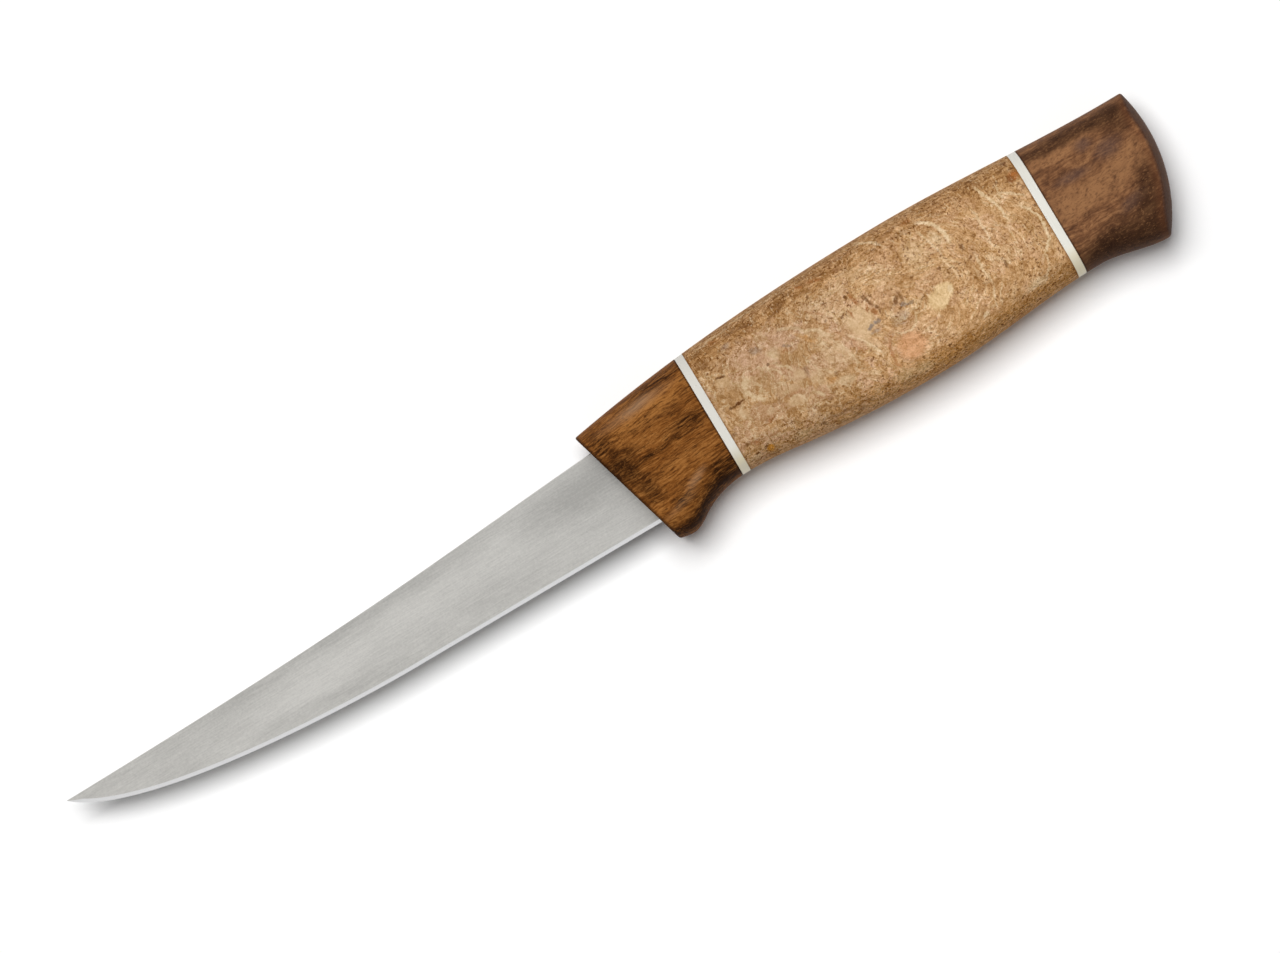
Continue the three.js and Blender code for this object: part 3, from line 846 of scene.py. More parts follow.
@dataclass(frozen=True)
class Burl:
    """Oiled burl of the grip: swirls, flecks and pale strands in tan wood."""

    brown: Colour = srgb(158, 114, 68)
    tan: Colour = srgb(197, 153, 106)
    light: Colour = srgb(222, 183, 137)
    grey: Colour = srgb(178, 140, 102)
    deep: Colour = srgb(118, 76, 36)
    ochre: Colour = srgb(186, 127, 54)
    roughness: float = 0.46
    grain_hue: tuple[float, float, float] = (0.84, 1.07, 1.52)
    clean_tones: tuple[Tone, ...] = (Tone.BEIGE, Tone.SALMON, Tone.STRAW, Tone.CREAM)
    front: float = 1.8
    rear: float = 76.8
    seam: tuple[float, float] = (0.5, 0.1)
    seam_share: float = 0.55
    thread_line: tuple[float, float] = (0.03, 0.006)
    fold_line: tuple[float, float] = (0.022, 0.006)
    grain_swing: float = 1.55
    crumb_swing: float = 0.45
    front_fade: tuple[float, float] = (46.0, 26.0)
    crest: float = 47.5
    crest_curve: float = 0.001
    back_fade: tuple[float, float] = (8.5, 12.5)
    palm: float = 44.5
    palm_curve: float = 0.0009
    belly_fade: tuple[float, float] = (9.5, 13.5)
    ripple_rate: float = 1.9
    eye: tuple[float, float, float] = (45.0, -1.0, 0.0)
    eye_scale: tuple[float, float, float] = (1.5, 1.0, 2.4)
    quiet: Patch = Patch(17.0, -0.6, 34.0, 16.0, -8, 0.4)
    tints: Marks = (
        (Patch(16.0, 6.6, 17.0, 4.6, -8, 0.6), Tone.PINK, 0.6),
        (Patch(8.2, -4.6, 9.0, 5.6, -15, 0.5), Tone.OAK, 0.4),
        (Patch(15.0, -6.0, 26.0, 8.0, -5, 0.8), Tone.OAK, 0.35),
        (Patch(5.6, 1.6, 8.0, 4.4, -5, 0.6), Tone.OAK, 0.6),
        (Patch(6.0, 10.4, 13.0, 5.0, 6, 0.6), Tone.OAK, 0.6),
        (Patch(22.0, 11.4, 18.0, 3.4, 5, 0.7), Tone.OAK, 0.5),
        (Patch(12.8, 0.2, 5.4, 4.2, 10, 0.5), Tone.OAK, 0.6),
        (Patch(20.2, 1.2, 6.0, 4.0, -10, 0.5), Tone.OAK, 0.55),
        (Patch(14.0, -7.6, 8.0, 3.0, 10, 0.6), Tone.OAK, 0.4),
        (Patch(29.0, 9.0, 10.0, 5.0, -20, 0.8), Tone.OAK, 0.3),
        (Patch(22.0, -9.6, 12.0, 3.0, -14, 0.7), Tone.OAK, 0.45),
        (Patch(26.8, -1.6, 3.0, 9.0, 8, 0.7), Tone.BEIGE, 0.4),
        (Patch(29.6, 1.0, 8.0, 5.0, -60, 0.8), Tone.PINK, 0.35),
        (Patch(51.0, 7.2, 4.6, 5.0, 10, 0.5), Tone.BEIGE, 0.65),
        (Patch(65.0, -8.0, 7.0, 4.0, 10, 0.8), Tone.OAK, 0.5),
        (Patch(71.0, 11.0, 11.0, 4.6, -10, 0.7), Tone.OAK, 0.6),
        (Patch(74.4, -2.4, 4.0, 8.0, 0, 0.8), Tone.OAK, 0.5),
    )
    spots: Marks = (
        (Patch(35.2, 1.0, 5.4, 6.4, -20, 0.3), Tone.BEIGE, 0.9),
        (Patch(34.4, -1.6, 2.2, 3.4, 10, 0.4), Tone.BEIGE, 0.8),
        (Patch(50.5, -3.2, 4.4, 3.9, 0, 0.2), Tone.STRAW, 1.0),
        (Patch(52.3, -2.4, 4.0, 3.5, 10, 0.2), Tone.STRAW, 1.0),
        (Patch(53.5, -2.7, 1.1, 1.7, -20, 0.4), Tone.CREAM, 0.9),
        (Patch(41.6, -8.3, 6.0, 5.2, -15, 0.3), Tone.SALMON, 0.85),
        (Patch(44.1, -0.4, 1.5, 1.2, -25, 0.4), Tone.SLATE, 1.0),
        (Patch(45.4, -0.9, 1.5, 0.8, -10, 0.4), Tone.SLATE, 0.9),
        (Patch(43.2, 0.8, 0.9, 2.4, -40, 0.5), Tone.UMBER, 0.8),
        (Patch(44.5, 1.2, 0.6, 2.0, 12, 0.5), Tone.UMBER, 0.75),
        (Patch(36.5, -1.1, 1.4, 0.9, 20, 0.4), Tone.SLATE, 1.0),
        (Patch(37.9, -0.7, 1.4, 0.8, -8, 0.4), Tone.SLATE, 0.95),
        (Patch(36.9, -2.3, 2.4, 0.6, 8, 0.5), Tone.SLATE, 0.6),
        (Patch(42.2, -2.7, 3.8, 2.4, 15, 0.4), Tone.SLATE, 0.45),
        (Patch(5.7, 4.6, 3.0, 2.2, -20, 0.5), Tone.BEIGE, 0.6),
        (Patch(14.4, 6.5, 2.4, 1.5, -25, 0.5), Tone.SLATE, 0.55),
        (Patch(17.1, 4.2, 2.4, 2.4, 0, 0.6), Tone.CREAM, 0.5),
        (Patch(20.3, 4.3, 1.8, 0.6, -15, 0.5), Tone.SLATE, 0.6),
        (Patch(19.6, 3.5, 1.3, 0.6, 10, 0.5), Tone.RUST, 0.5),
        (Patch(15.3, 3.0, 0.6, 0.5, 0, 0.4), Tone.UMBER, 0.8),
        (Patch(19.6, -1.9, 3.0, 2.0, -30, 0.4), Tone.BEIGE, 0.7),
        (Patch(18.2, -3.5, 3.0, 1.8, 10, 0.5), Tone.BEIGE, 0.45),
        (Patch(22.2, -3.9, 2.4, 2.4, 20, 0.4), Tone.BEIGE, 0.5),
        (Patch(21.3, -1.9, 0.9, 2.0, -15, 0.6), Tone.UMBER, 0.5),
        (Patch(16.2, -4.5, 4.6, 1.0, -14, 0.6), Tone.RUST, 0.35),
        (Patch(16.6, -6.0, 4.2, 2.0, -10, 0.4), Tone.BEIGE, 0.6),
        (Patch(6.2, -3.0, 1.6, 3.0, 25, 0.5), Tone.BEIGE, 0.6),
        (Patch(11.0, -5.2, 1.6, 1.4, 0, 0.5), Tone.CREAM, 0.35),
        (Patch(24.6, -5.9, 3.0, 1.7, -12, 0.5), Tone.AMBER, 0.3),
        (Patch(26.9, -7.4, 4.0, 2.0, -15, 0.4), Tone.CREAM, 0.5),
        (Patch(21.3, -7.2, 1.9, 0.8, -50, 0.4), Tone.CREAM, 0.8),
        (Patch(24.3, 3.7, 4.4, 0.8, -48, 0.5), Tone.AMBER, 0.35),
        (Patch(26.0, -5.6, 0.7, 1.4, -10, 0.5), Tone.UMBER, 0.4),
        (Patch(37.4, -12.6, 4.4, 1.8, -5, 0.5), Tone.STRAW, 0.5),
        (Patch(41.6, -13.2, 4.0, 2.2, -10, 0.5), Tone.STRAW, 0.5),
        (Patch(14.4, -12.2, 4.0, 1.5, -8, 0.5), Tone.STRAW, 0.5),
        (Patch(3.8, -11.4, 3.6, 1.0, 0, 0.5), Tone.BEIGE, 0.6),
        (Patch(8.2, 13.0, 7.0, 0.4, 5, 0.6), Tone.CREAM, 0.6),
        (Patch(15.6, 13.8, 5.0, 0.4, 4, 0.6), Tone.CREAM, 0.6),
        (Patch(21.6, 13.9, 3.0, 0.4, 2, 0.6), Tone.CREAM, 0.5),
        (Patch(4.2, 9.6, 3.6, 1.8, -15, 0.7), Tone.UMBER, 0.45),
        (Patch(3.8, 12.0, 3.0, 1.0, 5, 0.7), Tone.UMBER, 0.5),
        (Patch(8.2, 12.2, 2.6, 0.8, -5, 0.6), Tone.RUST, 0.6),
        (Patch(9.6, 10.2, 2.6, 1.1, 10, 0.6), Tone.SLATE, 0.45),
        (Patch(15.2, 11.7, 4.6, 0.6, -4, 0.6), Tone.UMBER, 0.75),
        (Patch(12.6, 12.4, 3.0, 0.5, 6, 0.6), Tone.UMBER, 0.6),
        (Patch(21.8, 11.0, 5.0, 0.5, 14, 0.6), Tone.UMBER, 0.5),
        (Patch(18.6, 14.2, 0.9, 0.5, 0, 0.4), Tone.UMBER, 0.8),
        (Patch(28.0, 12.9, 1.6, 0.7, -35, 0.5), Tone.RUST, 0.7),
        (Patch(31.4, 12.5, 3.0, 0.9, -20, 0.6), Tone.RUST, 0.6),
        (Patch(28.5, 10.4, 0.9, 0.6, 30, 0.4), Tone.UMBER, 0.8),
        (Patch(52.7, 13.0, 2.2, 0.9, 5, 0.6), Tone.RUST, 0.65),
        (Patch(75.5, 10.0, 2.4, 2.2, 15, 0.3), Tone.RUST, 0.9),
        (Patch(74.6, 9.8, 1.4, 1.6, 0, 0.6), Tone.UMBER, 0.6),
        (Patch(75.2, 13.1, 1.7, 0.6, -20, 0.4), Tone.UMBER, 0.9),
        (Patch(73.6, 12.0, 1.3, 0.8, 10, 0.5), Tone.UMBER, 0.8),
        (Patch(72.0, 10.7, 0.9, 0.6, -30, 0.5), Tone.UMBER, 0.8),
        (Patch(70.9, 12.6, 0.9, 0.5, 0, 0.5), Tone.UMBER, 0.8),
        (Patch(76.2, 11.6, 0.8, 0.9, 0, 0.5), Tone.UMBER, 0.7),
        (Patch(67.6, 13.5, 2.2, 0.6, -22, 0.3), Tone.UMBER, 0.9),
        (Patch(5.9, 5.7, 1.9, 0.45, -12, 0.35), Tone.UMBER, 0.95),
        (Patch(5.9, -0.6, 3.3, 0.5, 4, 0.35), Tone.UMBER, 0.9),
        (Patch(4.5, -0.6, 0.8, 0.8, 0, 0.4), Tone.UMBER, 0.8),
        (Patch(7.3, -11.4, 1.6, 1.4, 0, 0.3), Tone.AMBER, 1.0),
        (Patch(6.7, -10.8, 0.8, 0.6, 0, 0.4), Tone.UMBER, 0.8),
        (Patch(36.2, 5.2, 0.7, 2.4, 12, 0.6), Tone.RUST, 0.8),
        (Patch(38.4, 3.7, 0.6, 2.8, 25, 0.6), Tone.UMBER, 0.8),
        (Patch(38.5, 1.3, 0.8, 1.9, 10, 0.6), Tone.RUST, 0.9),
        (Patch(39.3, 1.8, 0.8, 0.9, 0, 0.5), Tone.UMBER, 0.9),
        (Patch(39.5, 0.7, 0.6, 1.2, -15, 0.5), Tone.UMBER, 0.8),
        (Patch(37.7, 2.6, 0.5, 1.6, -20, 0.5), Tone.RUST, 0.8),
        (Patch(34.1, 3.0, 0.6, 1.8, 10, 0.6), Tone.RUST, 0.8),
        (Patch(5.2, -9.0, 2.6, 0.8, -25, 0.6), Tone.RUST, 0.7),
        (Patch(9.2, -9.3, 2.6, 0.7, -10, 0.6), Tone.RUST, 0.6),
        (Patch(10.0, -6.9, 1.4, 0.7, 20, 0.5), Tone.RUST, 0.7),
        (Patch(3.6, -8.6, 1.4, 0.7, 0, 0.5), Tone.UMBER, 0.5),
        (Patch(2.6, -5.6, 1.0, 0.8, 0, 0.5), Tone.UMBER, 0.5),
        (Patch(23.2, -12.7, 1.4, 0.5, 0, 0.5), Tone.UMBER, 0.7),
        (Patch(35.3, -15.0, 1.6, 0.9, 0, 0.5), Tone.RUST, 0.8),
        (Patch(22.4, -9.0, 1.2, 0.5, -30, 0.5), Tone.UMBER, 0.4),
        (Patch(35.0, 6.4, 0.8, 0.6, 0, 0.4), Tone.UMBER, 0.7),
        (Patch(65.4, -4.0, 0.6, 1.7, -8, 0.4), Tone.UMBER, 0.8),
        (Patch(59.6, 3.2, 0.8, 1.4, 10, 0.5), Tone.UMBER, 0.75),
        (Patch(53.7, 1.9, 0.8, 0.8, 0, 0.5), Tone.UMBER, 0.75),
        (Patch(48.3, 3.3, 0.7, 0.9, 0, 0.5), Tone.UMBER, 0.6),
        (Patch(56.1, 7.5, 1.7, 3.2, 15, 0.5), Tone.CREAM, 0.55),
        (Patch(68.6, -10.6, 4.2, 1.1, 10, 0.5), Tone.CREAM, 0.6),
        (Patch(57.2, -10.6, 1.7, 0.8, 20, 0.5), Tone.CREAM, 0.7),
        (Patch(33.6, -6.4, 0.5, 0.5, 0, 0.4), Tone.UMBER, 0.9),
        (Patch(18.9, -12.6, 1.4, 0.6, -25, 0.5), Tone.UMBER, 0.8),
        (Patch(13.1, -11.5, 0.8, 0.4, 10, 0.5), Tone.UMBER, 0.7),
    )
    strands: Marks = (
        (Fibre(9.4, 1.7, 2.4, 48, 0.2, 0.7), Tone.CREAM, 0.6),
        (Fibre(9.8, -0.9, 4.4, -52, -0.3, 0.65), Tone.CREAM, 0.75),
        (Fibre(15.9, 0.9, 2.4, -66, 0.2, 0.4), Tone.CREAM, 0.7),
        (Fibre(17.7, 0.7, 3.4, -50, 0.2, 0.4), Tone.CREAM, 0.65),
        (Fibre(17.0, -5.9, 3.2, -28, 0.6, 0.35), Tone.CREAM, 0.55),
        (Fibre(6.4, -2.6, 3.0, 70, 0.4, 0.5), Tone.CREAM, 0.4),
        (Fibre(56.4, 8.6, 7.6, -60, 1.2, 0.5), Tone.CREAM, 0.95),
        (Fibre(57.8, 7.6, 4.0, -76, 0.2, 0.6), Tone.CREAM, 0.8),
        (Fibre(54.6, 7.0, 6.4, -75, 0.3, 0.36), Tone.CREAM, 0.65),
        (Fibre(64.9, 4.8, 8.6, 91, -0.5, 0.34), Tone.CREAM, 0.6),
        (Fibre(69.2, 7.6, 8.8, -72, 0.4, 0.45), Tone.CREAM, 0.85),
        (Fibre(73.2, -1.1, 10.8, 86, -2.7, 0.42), Tone.CREAM, 0.9),
        (Fibre(73.4, 7.0, 4.8, -36, 0.3, 0.4), Tone.CREAM, 0.75),
        (Fibre(71.6, 9.0, 3.0, 85, 0.1, 0.35), Tone.CREAM, 0.6),
        (Fibre(61.3, -2.6, 6.6, 90, 0.1, 0.45), Tone.CREAM, 0.6),
        (Fibre(60.4, -8.6, 4.4, 66, 0.1, 0.26), Tone.CREAM, 0.6),
        (Fibre(61.8, -8.8, 4.2, 62, 0.1, 0.26), Tone.CREAM, 0.6),
        (Fibre(43.6, 13.0, 6.6, -25, 0.9, 0.4), Tone.CREAM, 0.7),
        (Fibre(43.0, -3.9, 5.4, 25, -1.4, 0.38), Tone.CREAM, 0.65),
        (Fibre(71.5, -8.2, 7.0, 60, -1.0, 0.35), Tone.CREAM, 0.55),
        (Fibre(33.4, -3.4, 8.0, -58, 0.6, 0.4), Tone.CREAM, 0.65),
        (Fibre(28.4, -1.0, 12.0, -66, 0.8, 0.4), Tone.CREAM, 0.5),
        (Fibre(30.4, -0.6, 12.0, -64, 0.8, 0.35), Tone.RUST, 0.35),
        (Fibre(26.4, 3.2, 6.6, -36, 0.6, 0.5), Tone.CREAM, 0.6),
        (Fibre(22.6, 5.8, 6.0, -38, 0.8, 0.6), Tone.CREAM, 0.5),
        (Fibre(27.6, 6.2, 7.0, -42, 1.2, 0.45), Tone.RUST, 0.35),
        (Fibre(38.2, -7.6, 6.4, 78, 1.0, 0.45), Tone.RUST, 0.6),
        (Fibre(26.0, 12.6, 12.0, 8, 0.4, 0.4), Tone.UMBER, 0.4),
        (Fibre(34.0, 12.2, 9.0, -16, 0.4, 0.35), Tone.UMBER, 0.35),
        (Fibre(25.0, -12.4, 12.0, -4, -0.6, 0.35), Tone.UMBER, 0.4),
        (Fibre(23.0, -10.4, 9.0, -22, -0.5, 0.3), Tone.UMBER, 0.3),
    )

    @staticmethod
    def gather(graph: Graph, point: Feed, marks: Marks) -> dict[Tone, Value]:
        """Draw marks, with those of one tone in one mask.

        Args:
            graph: The material's graph.
            point: The point on the surface.
            marks: Shape, tone and strength of each mark.

        Returns:
            The masks, with the undermost tone first.
        """
        masks = {}
        for shape, tone, share in marks:
            mask = shape.mask(graph, point, share)
            masks[tone] = masks[tone].either(mask) if tone in masks else mask
        return {tone: masks[tone] for tone in Tone if tone in masks}

    def material(self, datum: Datum) -> bpy.types.Material:
        """Make the finish.

        Args:
            datum: The knife's datum.

        Returns:
            The material.
        """
        graph = Graph.of_material("burl")
        point = graph.knife_point(datum)
        along, height, depth = graph.axes(point)
        rough_point = graph.warp(point, 0.9, 0.5)
        ragged_point = graph.warp(graph.warp(point, 0.4, 0.5), 2.0, 0.35)
        front = along.smooth(*self.front_fade)
        calm = self.quiet.mask(graph, point) * 0.6
        ripple = graph.reach(graph.warp(graph.warp(point, 0.07, 6.0), 0.3, 1.0), self.eye, self.eye_scale)
        ripple_point = graph.join(ripple * self.ripple_rate, along * 0.4, (height + depth) * 0.4)
        dash_point = graph.join(ripple * self.ripple_rate, along * 1.3, (height + depth) * 1.3)
        thread_point = graph.join(ripple * 0.9, along * 0.1, (height + depth) * 0.1)
        fibres = graph.noise(ripple_point, 1.0, 4.0, 0.7)
        cloud = graph.noise(graph.warp(point, 0.09, 6.0), 0.2, 3.0, 0.6)
        mixed = fibres * 0.65 + cloud * 0.35
        colour = graph.ramp(mixed, (0.35, self.brown), (0.5, self.tan), (0.65, self.light))
        lumps = graph.chips(graph.warp(graph.warp(point, 0.35, 1.8), 1.6, 0.5), 0.36)
        lump_colour = graph.ramp(
            lumps, (0.3, self.grey), (0.45, Tone.PINK.value), (0.6, Tone.BEIGE.value), (0.75, Tone.PINK.value)
        )
        shown = (lumps - 0.14 * (1 - front)).smooth(0.44, 0.47) * (front * 0.45 + 0.3)
        colour = graph.mix(shown, colour, lump_colour)
        threads = graph.noise(thread_point, 1.0, 3.0, 0.6)
        share = cloud.smooth(0.35, 0.6) * 0.4 + 0.15
        colour = graph.mix(abs(threads - 0.5).smooth(*self.thread_line) * share, colour, Tone.CREAM.value)
        colour = graph.mix(abs(threads - 0.42).smooth(*self.thread_line) * share, colour, self.brown)
        for tone, mask in self.gather(graph, ragged_point, self.tints).items():
            colour = graph.mix(mask, colour, tone.value)
        folds = graph.noise(graph.warp(graph.warp(point, 0.2, 3.0), 0.9, 0.5), 0.3, 3.0, 0.5)
        colour = graph.mix(abs(folds - 0.53).smooth(*self.fold_line) * front * 0.5, colour, Tone.CREAM.value)
        colour = graph.mix(abs(folds - 0.45).smooth(*self.fold_line) * front * 0.6, colour, self.brown)
        # Darker lengthwise grain along the back and the belly, following the outline: partly grain, partly
        # painted shade of the rounded edges.
        off_crest = along - self.crest
        off_palm = along - self.palm
        back_edge = (height + off_crest * off_crest * self.crest_curve).smooth(*self.back_fade)
        belly_edge = (off_palm * off_palm * self.palm_curve - height).smooth(*self.belly_fade)
        edge = back_edge + belly_edge
        flow = graph.noise(graph.stretch(graph.warp(point, 0.25, 1.6), (0.3, 1.5, 1.1)), 1.0, 4.0, 0.65)
        flow_and_shade_colour = graph.ramp(flow, (0.36, self.deep), (0.5, self.brown), (0.64, self.tan))
        colour = graph.mix(back_edge * (front * 0.12 + 0.68), colour, flow_and_shade_colour)
        belly_flow_and_shade_colour = graph.ramp(flow, (0.34, self.deep), (0.5, self.ochre), (0.64, self.tan))
        colour = graph.mix(belly_edge * (0.75 - front * 0.25), colour, belly_flow_and_shade_colour)
        grain = graph.noise(rough_point, 3.0, 3.0, 0.75)
        crumbs = graph.chips(graph.warp(point, 1.5, 0.4), 1.6)
        worn = grain.smooth(0.2, 0.55) * 0.4 + 0.6
        for tone, mask in self.gather(graph, ragged_point, self.spots + self.strands).items():
            if tone in self.clean_tones:
                calm = calm + mask * 0.8
                mask = mask * worn
            else:
                mask = mask * (crumbs * 0.5 + 0.65)
            colour = graph.mix(mask, colour, tone.value)
        stir = calm.smooth(1.2, 0.0)
        texture = grain.swing(self.grain_swing) + crumbs.swing(self.crumb_swing)
        texture = texture * (stir * 0.6 + 0.4) * (belly_edge * 0.35 + 1)
        level = 0.97 - along.smooth(38.0, 20.0) * (0.14 - edge * 0.1)
        shades = [level + texture * gain for gain in self.grain_hue]
        colour = graph.mix(1.0, colour, graph.blend(*shades), "MULTIPLY")
        crowd = (graph.noise(point, 0.14, 2.0).smooth(0.34, 0.6) * 0.4 + edge * 0.4 + 0.4) * stir
        dashes = graph.noise(dash_point, 1.7, 2.0, 0.6)
        flecks = dashes.smooth(0.58, 0.66) * crowd
        colour = graph.mix(flecks * 0.85, colour, self.deep)
        motes = dashes.smooth(0.4, 0.32) * crowd
        colour = graph.mix(motes * 0.5, colour, Tone.CREAM.value)
        specks = graph.noise(rough_point, 1.6, 2.0, 0.6).smooth(0.6, 0.65) * crowd
        colour = graph.mix(specks * 0.9, colour, Tone.UMBER.value)
        seams = (along - self.front).smooth(*self.seam) + (self.rear - along).smooth(*self.seam)
        colour = graph.mix(seams * self.seam_share, colour, self.deep)
        return graph.finish(
            Base_Color=colour,
            Roughness=self.roughness + grain.swing(0.2),
            Specular_IOR_Level=WOOD_SHINE,
            Normal=graph.bump(1 - flecks, 0.05 * MM, 0.3),
        )


@dataclass(frozen=True)
class IvorySpacer:
    """Off-white spacer sheet, a little yellowed at the belly, with painted shade along the top."""

    pale: Colour = srgb(217, 214, 206)
    rear: Colour = srgb(229, 227, 218)
    # Grey of the streaks, also laid on as painted shade along the top edge.
    worn: Colour = srgb(188, 184, 174)
    aged: Colour = srgb(236, 224, 190)
    roughness: float = 0.42
    shine: float = 0.4

    def material(self, datum: Datum) -> bpy.types.Material:
        """Make the finish.

        Args:
            datum: The knife's datum.

        Returns:
            The material.
        """
        graph = Graph.of_material("ivory_spacer")
        point = graph.knife_point(datum)
        along, height, _ = graph.axes(point)
        blotch = graph.noise(point, 0.35, 3.0)
        streaks = graph.noise(graph.stretch(point, (3.0, 0.2, 0.2)), 1.0, 3.0)
        colour = graph.mix(along.smooth(30.0, 50.0), self.pale, self.rear)
        # Painted shade: greyed towards the top edge.
        colour = graph.mix(height.smooth(5.0, 11.0) * 0.35, colour, self.worn)
        yellow = height.smooth(-6.5, -11.5) * (blotch * 0.9 + 0.45)
        colour = graph.mix(yellow, colour, self.aged)
        colour = graph.mix(streaks.smooth(0.5, 0.75) * 0.2, colour, self.worn)
        return graph.finish(
            Base_Color=colour,
            Roughness=self.roughness + blotch.swing(0.15),
            Specular_IOR_Level=self.shine,
        )


@dataclass(frozen=True)
class Epoxy:
    """Cured amber epoxy round the tang."""

    body: Colour = srgb(200, 165, 82)
    bubble: Colour = srgb(224, 196, 128)

    def material(self, datum: Datum) -> bpy.types.Material:
        """Make the finish.

        Args:
            datum: The knife's datum.

        Returns:
            The material.
        """
        graph = Graph.of_material("epoxy")
        bubbles = graph.noise(graph.knife_point(datum), 0.9, 2.0)
        colour = graph.mix(bubbles.smooth(0.6, 0.7), self.body, self.bubble)
        return graph.finish(Base_Color=colour, Roughness=0.25 + bubbles * 0.1)


Finish = SatinSteel | GroundEdge | Walnut | DarkWalnut | Burl | IvorySpacer | Epoxy


@dataclass(frozen=True)
class SmoothLine:
    """A line that runs smoothly through stations of place, height and slope."""

    stations: tuple[tuple[float, float, float], ...]

    def at(self, x: float) -> float:
        """Give the line's height.

        Args:
            x: Place along the knife.

        Returns:
            The height there.
        """
        passed = sum(1 for station in self.stations[1:-1] if x > station[0])
        x0, y0, slope0 = self.stations[passed]
        x1, y1, slope1 = self.stations[passed + 1]
        span = x1 - x0
        t = (x - x0) / span
        rest = 1 - t
        start = rest * rest * (y0 * (1 + 2 * t) + slope0 * span * t)
        end = t * t * (y1 * (3 - 2 * t) - slope1 * span * rest)
        return start + end


@dataclass
class RingMesh:
    """A mesh drawn over a row of rings that all have the same number of points."""

    rings: list[Ring]
    closed: bool

    def build(self) -> bmesh.types.BMesh:
        """Lay a grid over the rings and weld its seams and poles.

        Returns:
            The mesh, whose vertices carry the numbers of their row and column.
        """
        rows = self.rings + self.rings[:1] if self.closed else self.rings
        steps = len(rows) - 1
        columns = len(rows[0])
        bm = bmesh.new()
        bmesh.ops.create_grid(bm, x_segments=steps, y_segments=columns, size=1.0)
        row_mark = bm.verts.layers.int.new("row")
        column_mark = bm.verts.layers.int.new("column")
        for vert in bm.verts:
            row = round((vert.co.x + 1) / 2 * steps)
            column = round((vert.co.y + 1) / 2 * columns) % columns
            vert.co = rows[row][column]
            vert[row_mark] = row % len(self.rings)
            vert[column_mark] = column
        bmesh.ops.remove_doubles(bm, verts=bm.verts, dist=WELD)
        bmesh.ops.recalc_face_normals(bm, faces=bm.faces)
        return bm

    @staticmethod
    def ease(bm: bmesh.types.BMesh, row: int, width: float, segments: int) -> None:
        """Round the edge that runs along one ring.

        Args:
            bm: The mesh.
            row: Number of the ring.
            width: Width of the rounding.
            segments: Its number of steps.
        """
        mark = bm.verts.layers.int["row"]
        rim = [edge for edge in bm.edges if all(vert[mark] == row for vert in edge.verts)]
        bmesh.ops.bevel(
            bm, geom=rim, offset=width, segments=segments, profile=0.5, affect="EDGES", material=-1
        )

    @staticmethod
    def to_piece(bm: bmesh.types.BMesh, name: str) -> bpy.types.Object:
        """Turn the mesh into a smooth-shaded object.

        Args:
            bm: The mesh, which is used up.
            name: Name of the piece.

        Returns:
            The object, linked into the scene.
        """
        for face in bm.faces:
            face.smooth = True
        for mark in ("row", "column"):
            bm.verts.layers.int.remove(bm.verts.layers.int[mark])
        mesh = bpy.data.meshes.new(name)
        bm.to_mesh(mesh)
        bm.free()
        piece = bpy.data.objects.new(name, mesh)
        bpy.context.scene.collection.objects.link(piece)
        return piece


@dataclass(frozen=True)
class Column:
    """One lengthwise line round a section.

    It has an end, 1 at the back or -1 at the belly, a turn on the rounded edge there and a share of the flat
    that follows.
    """

    end: int
    turn: float
    share: float


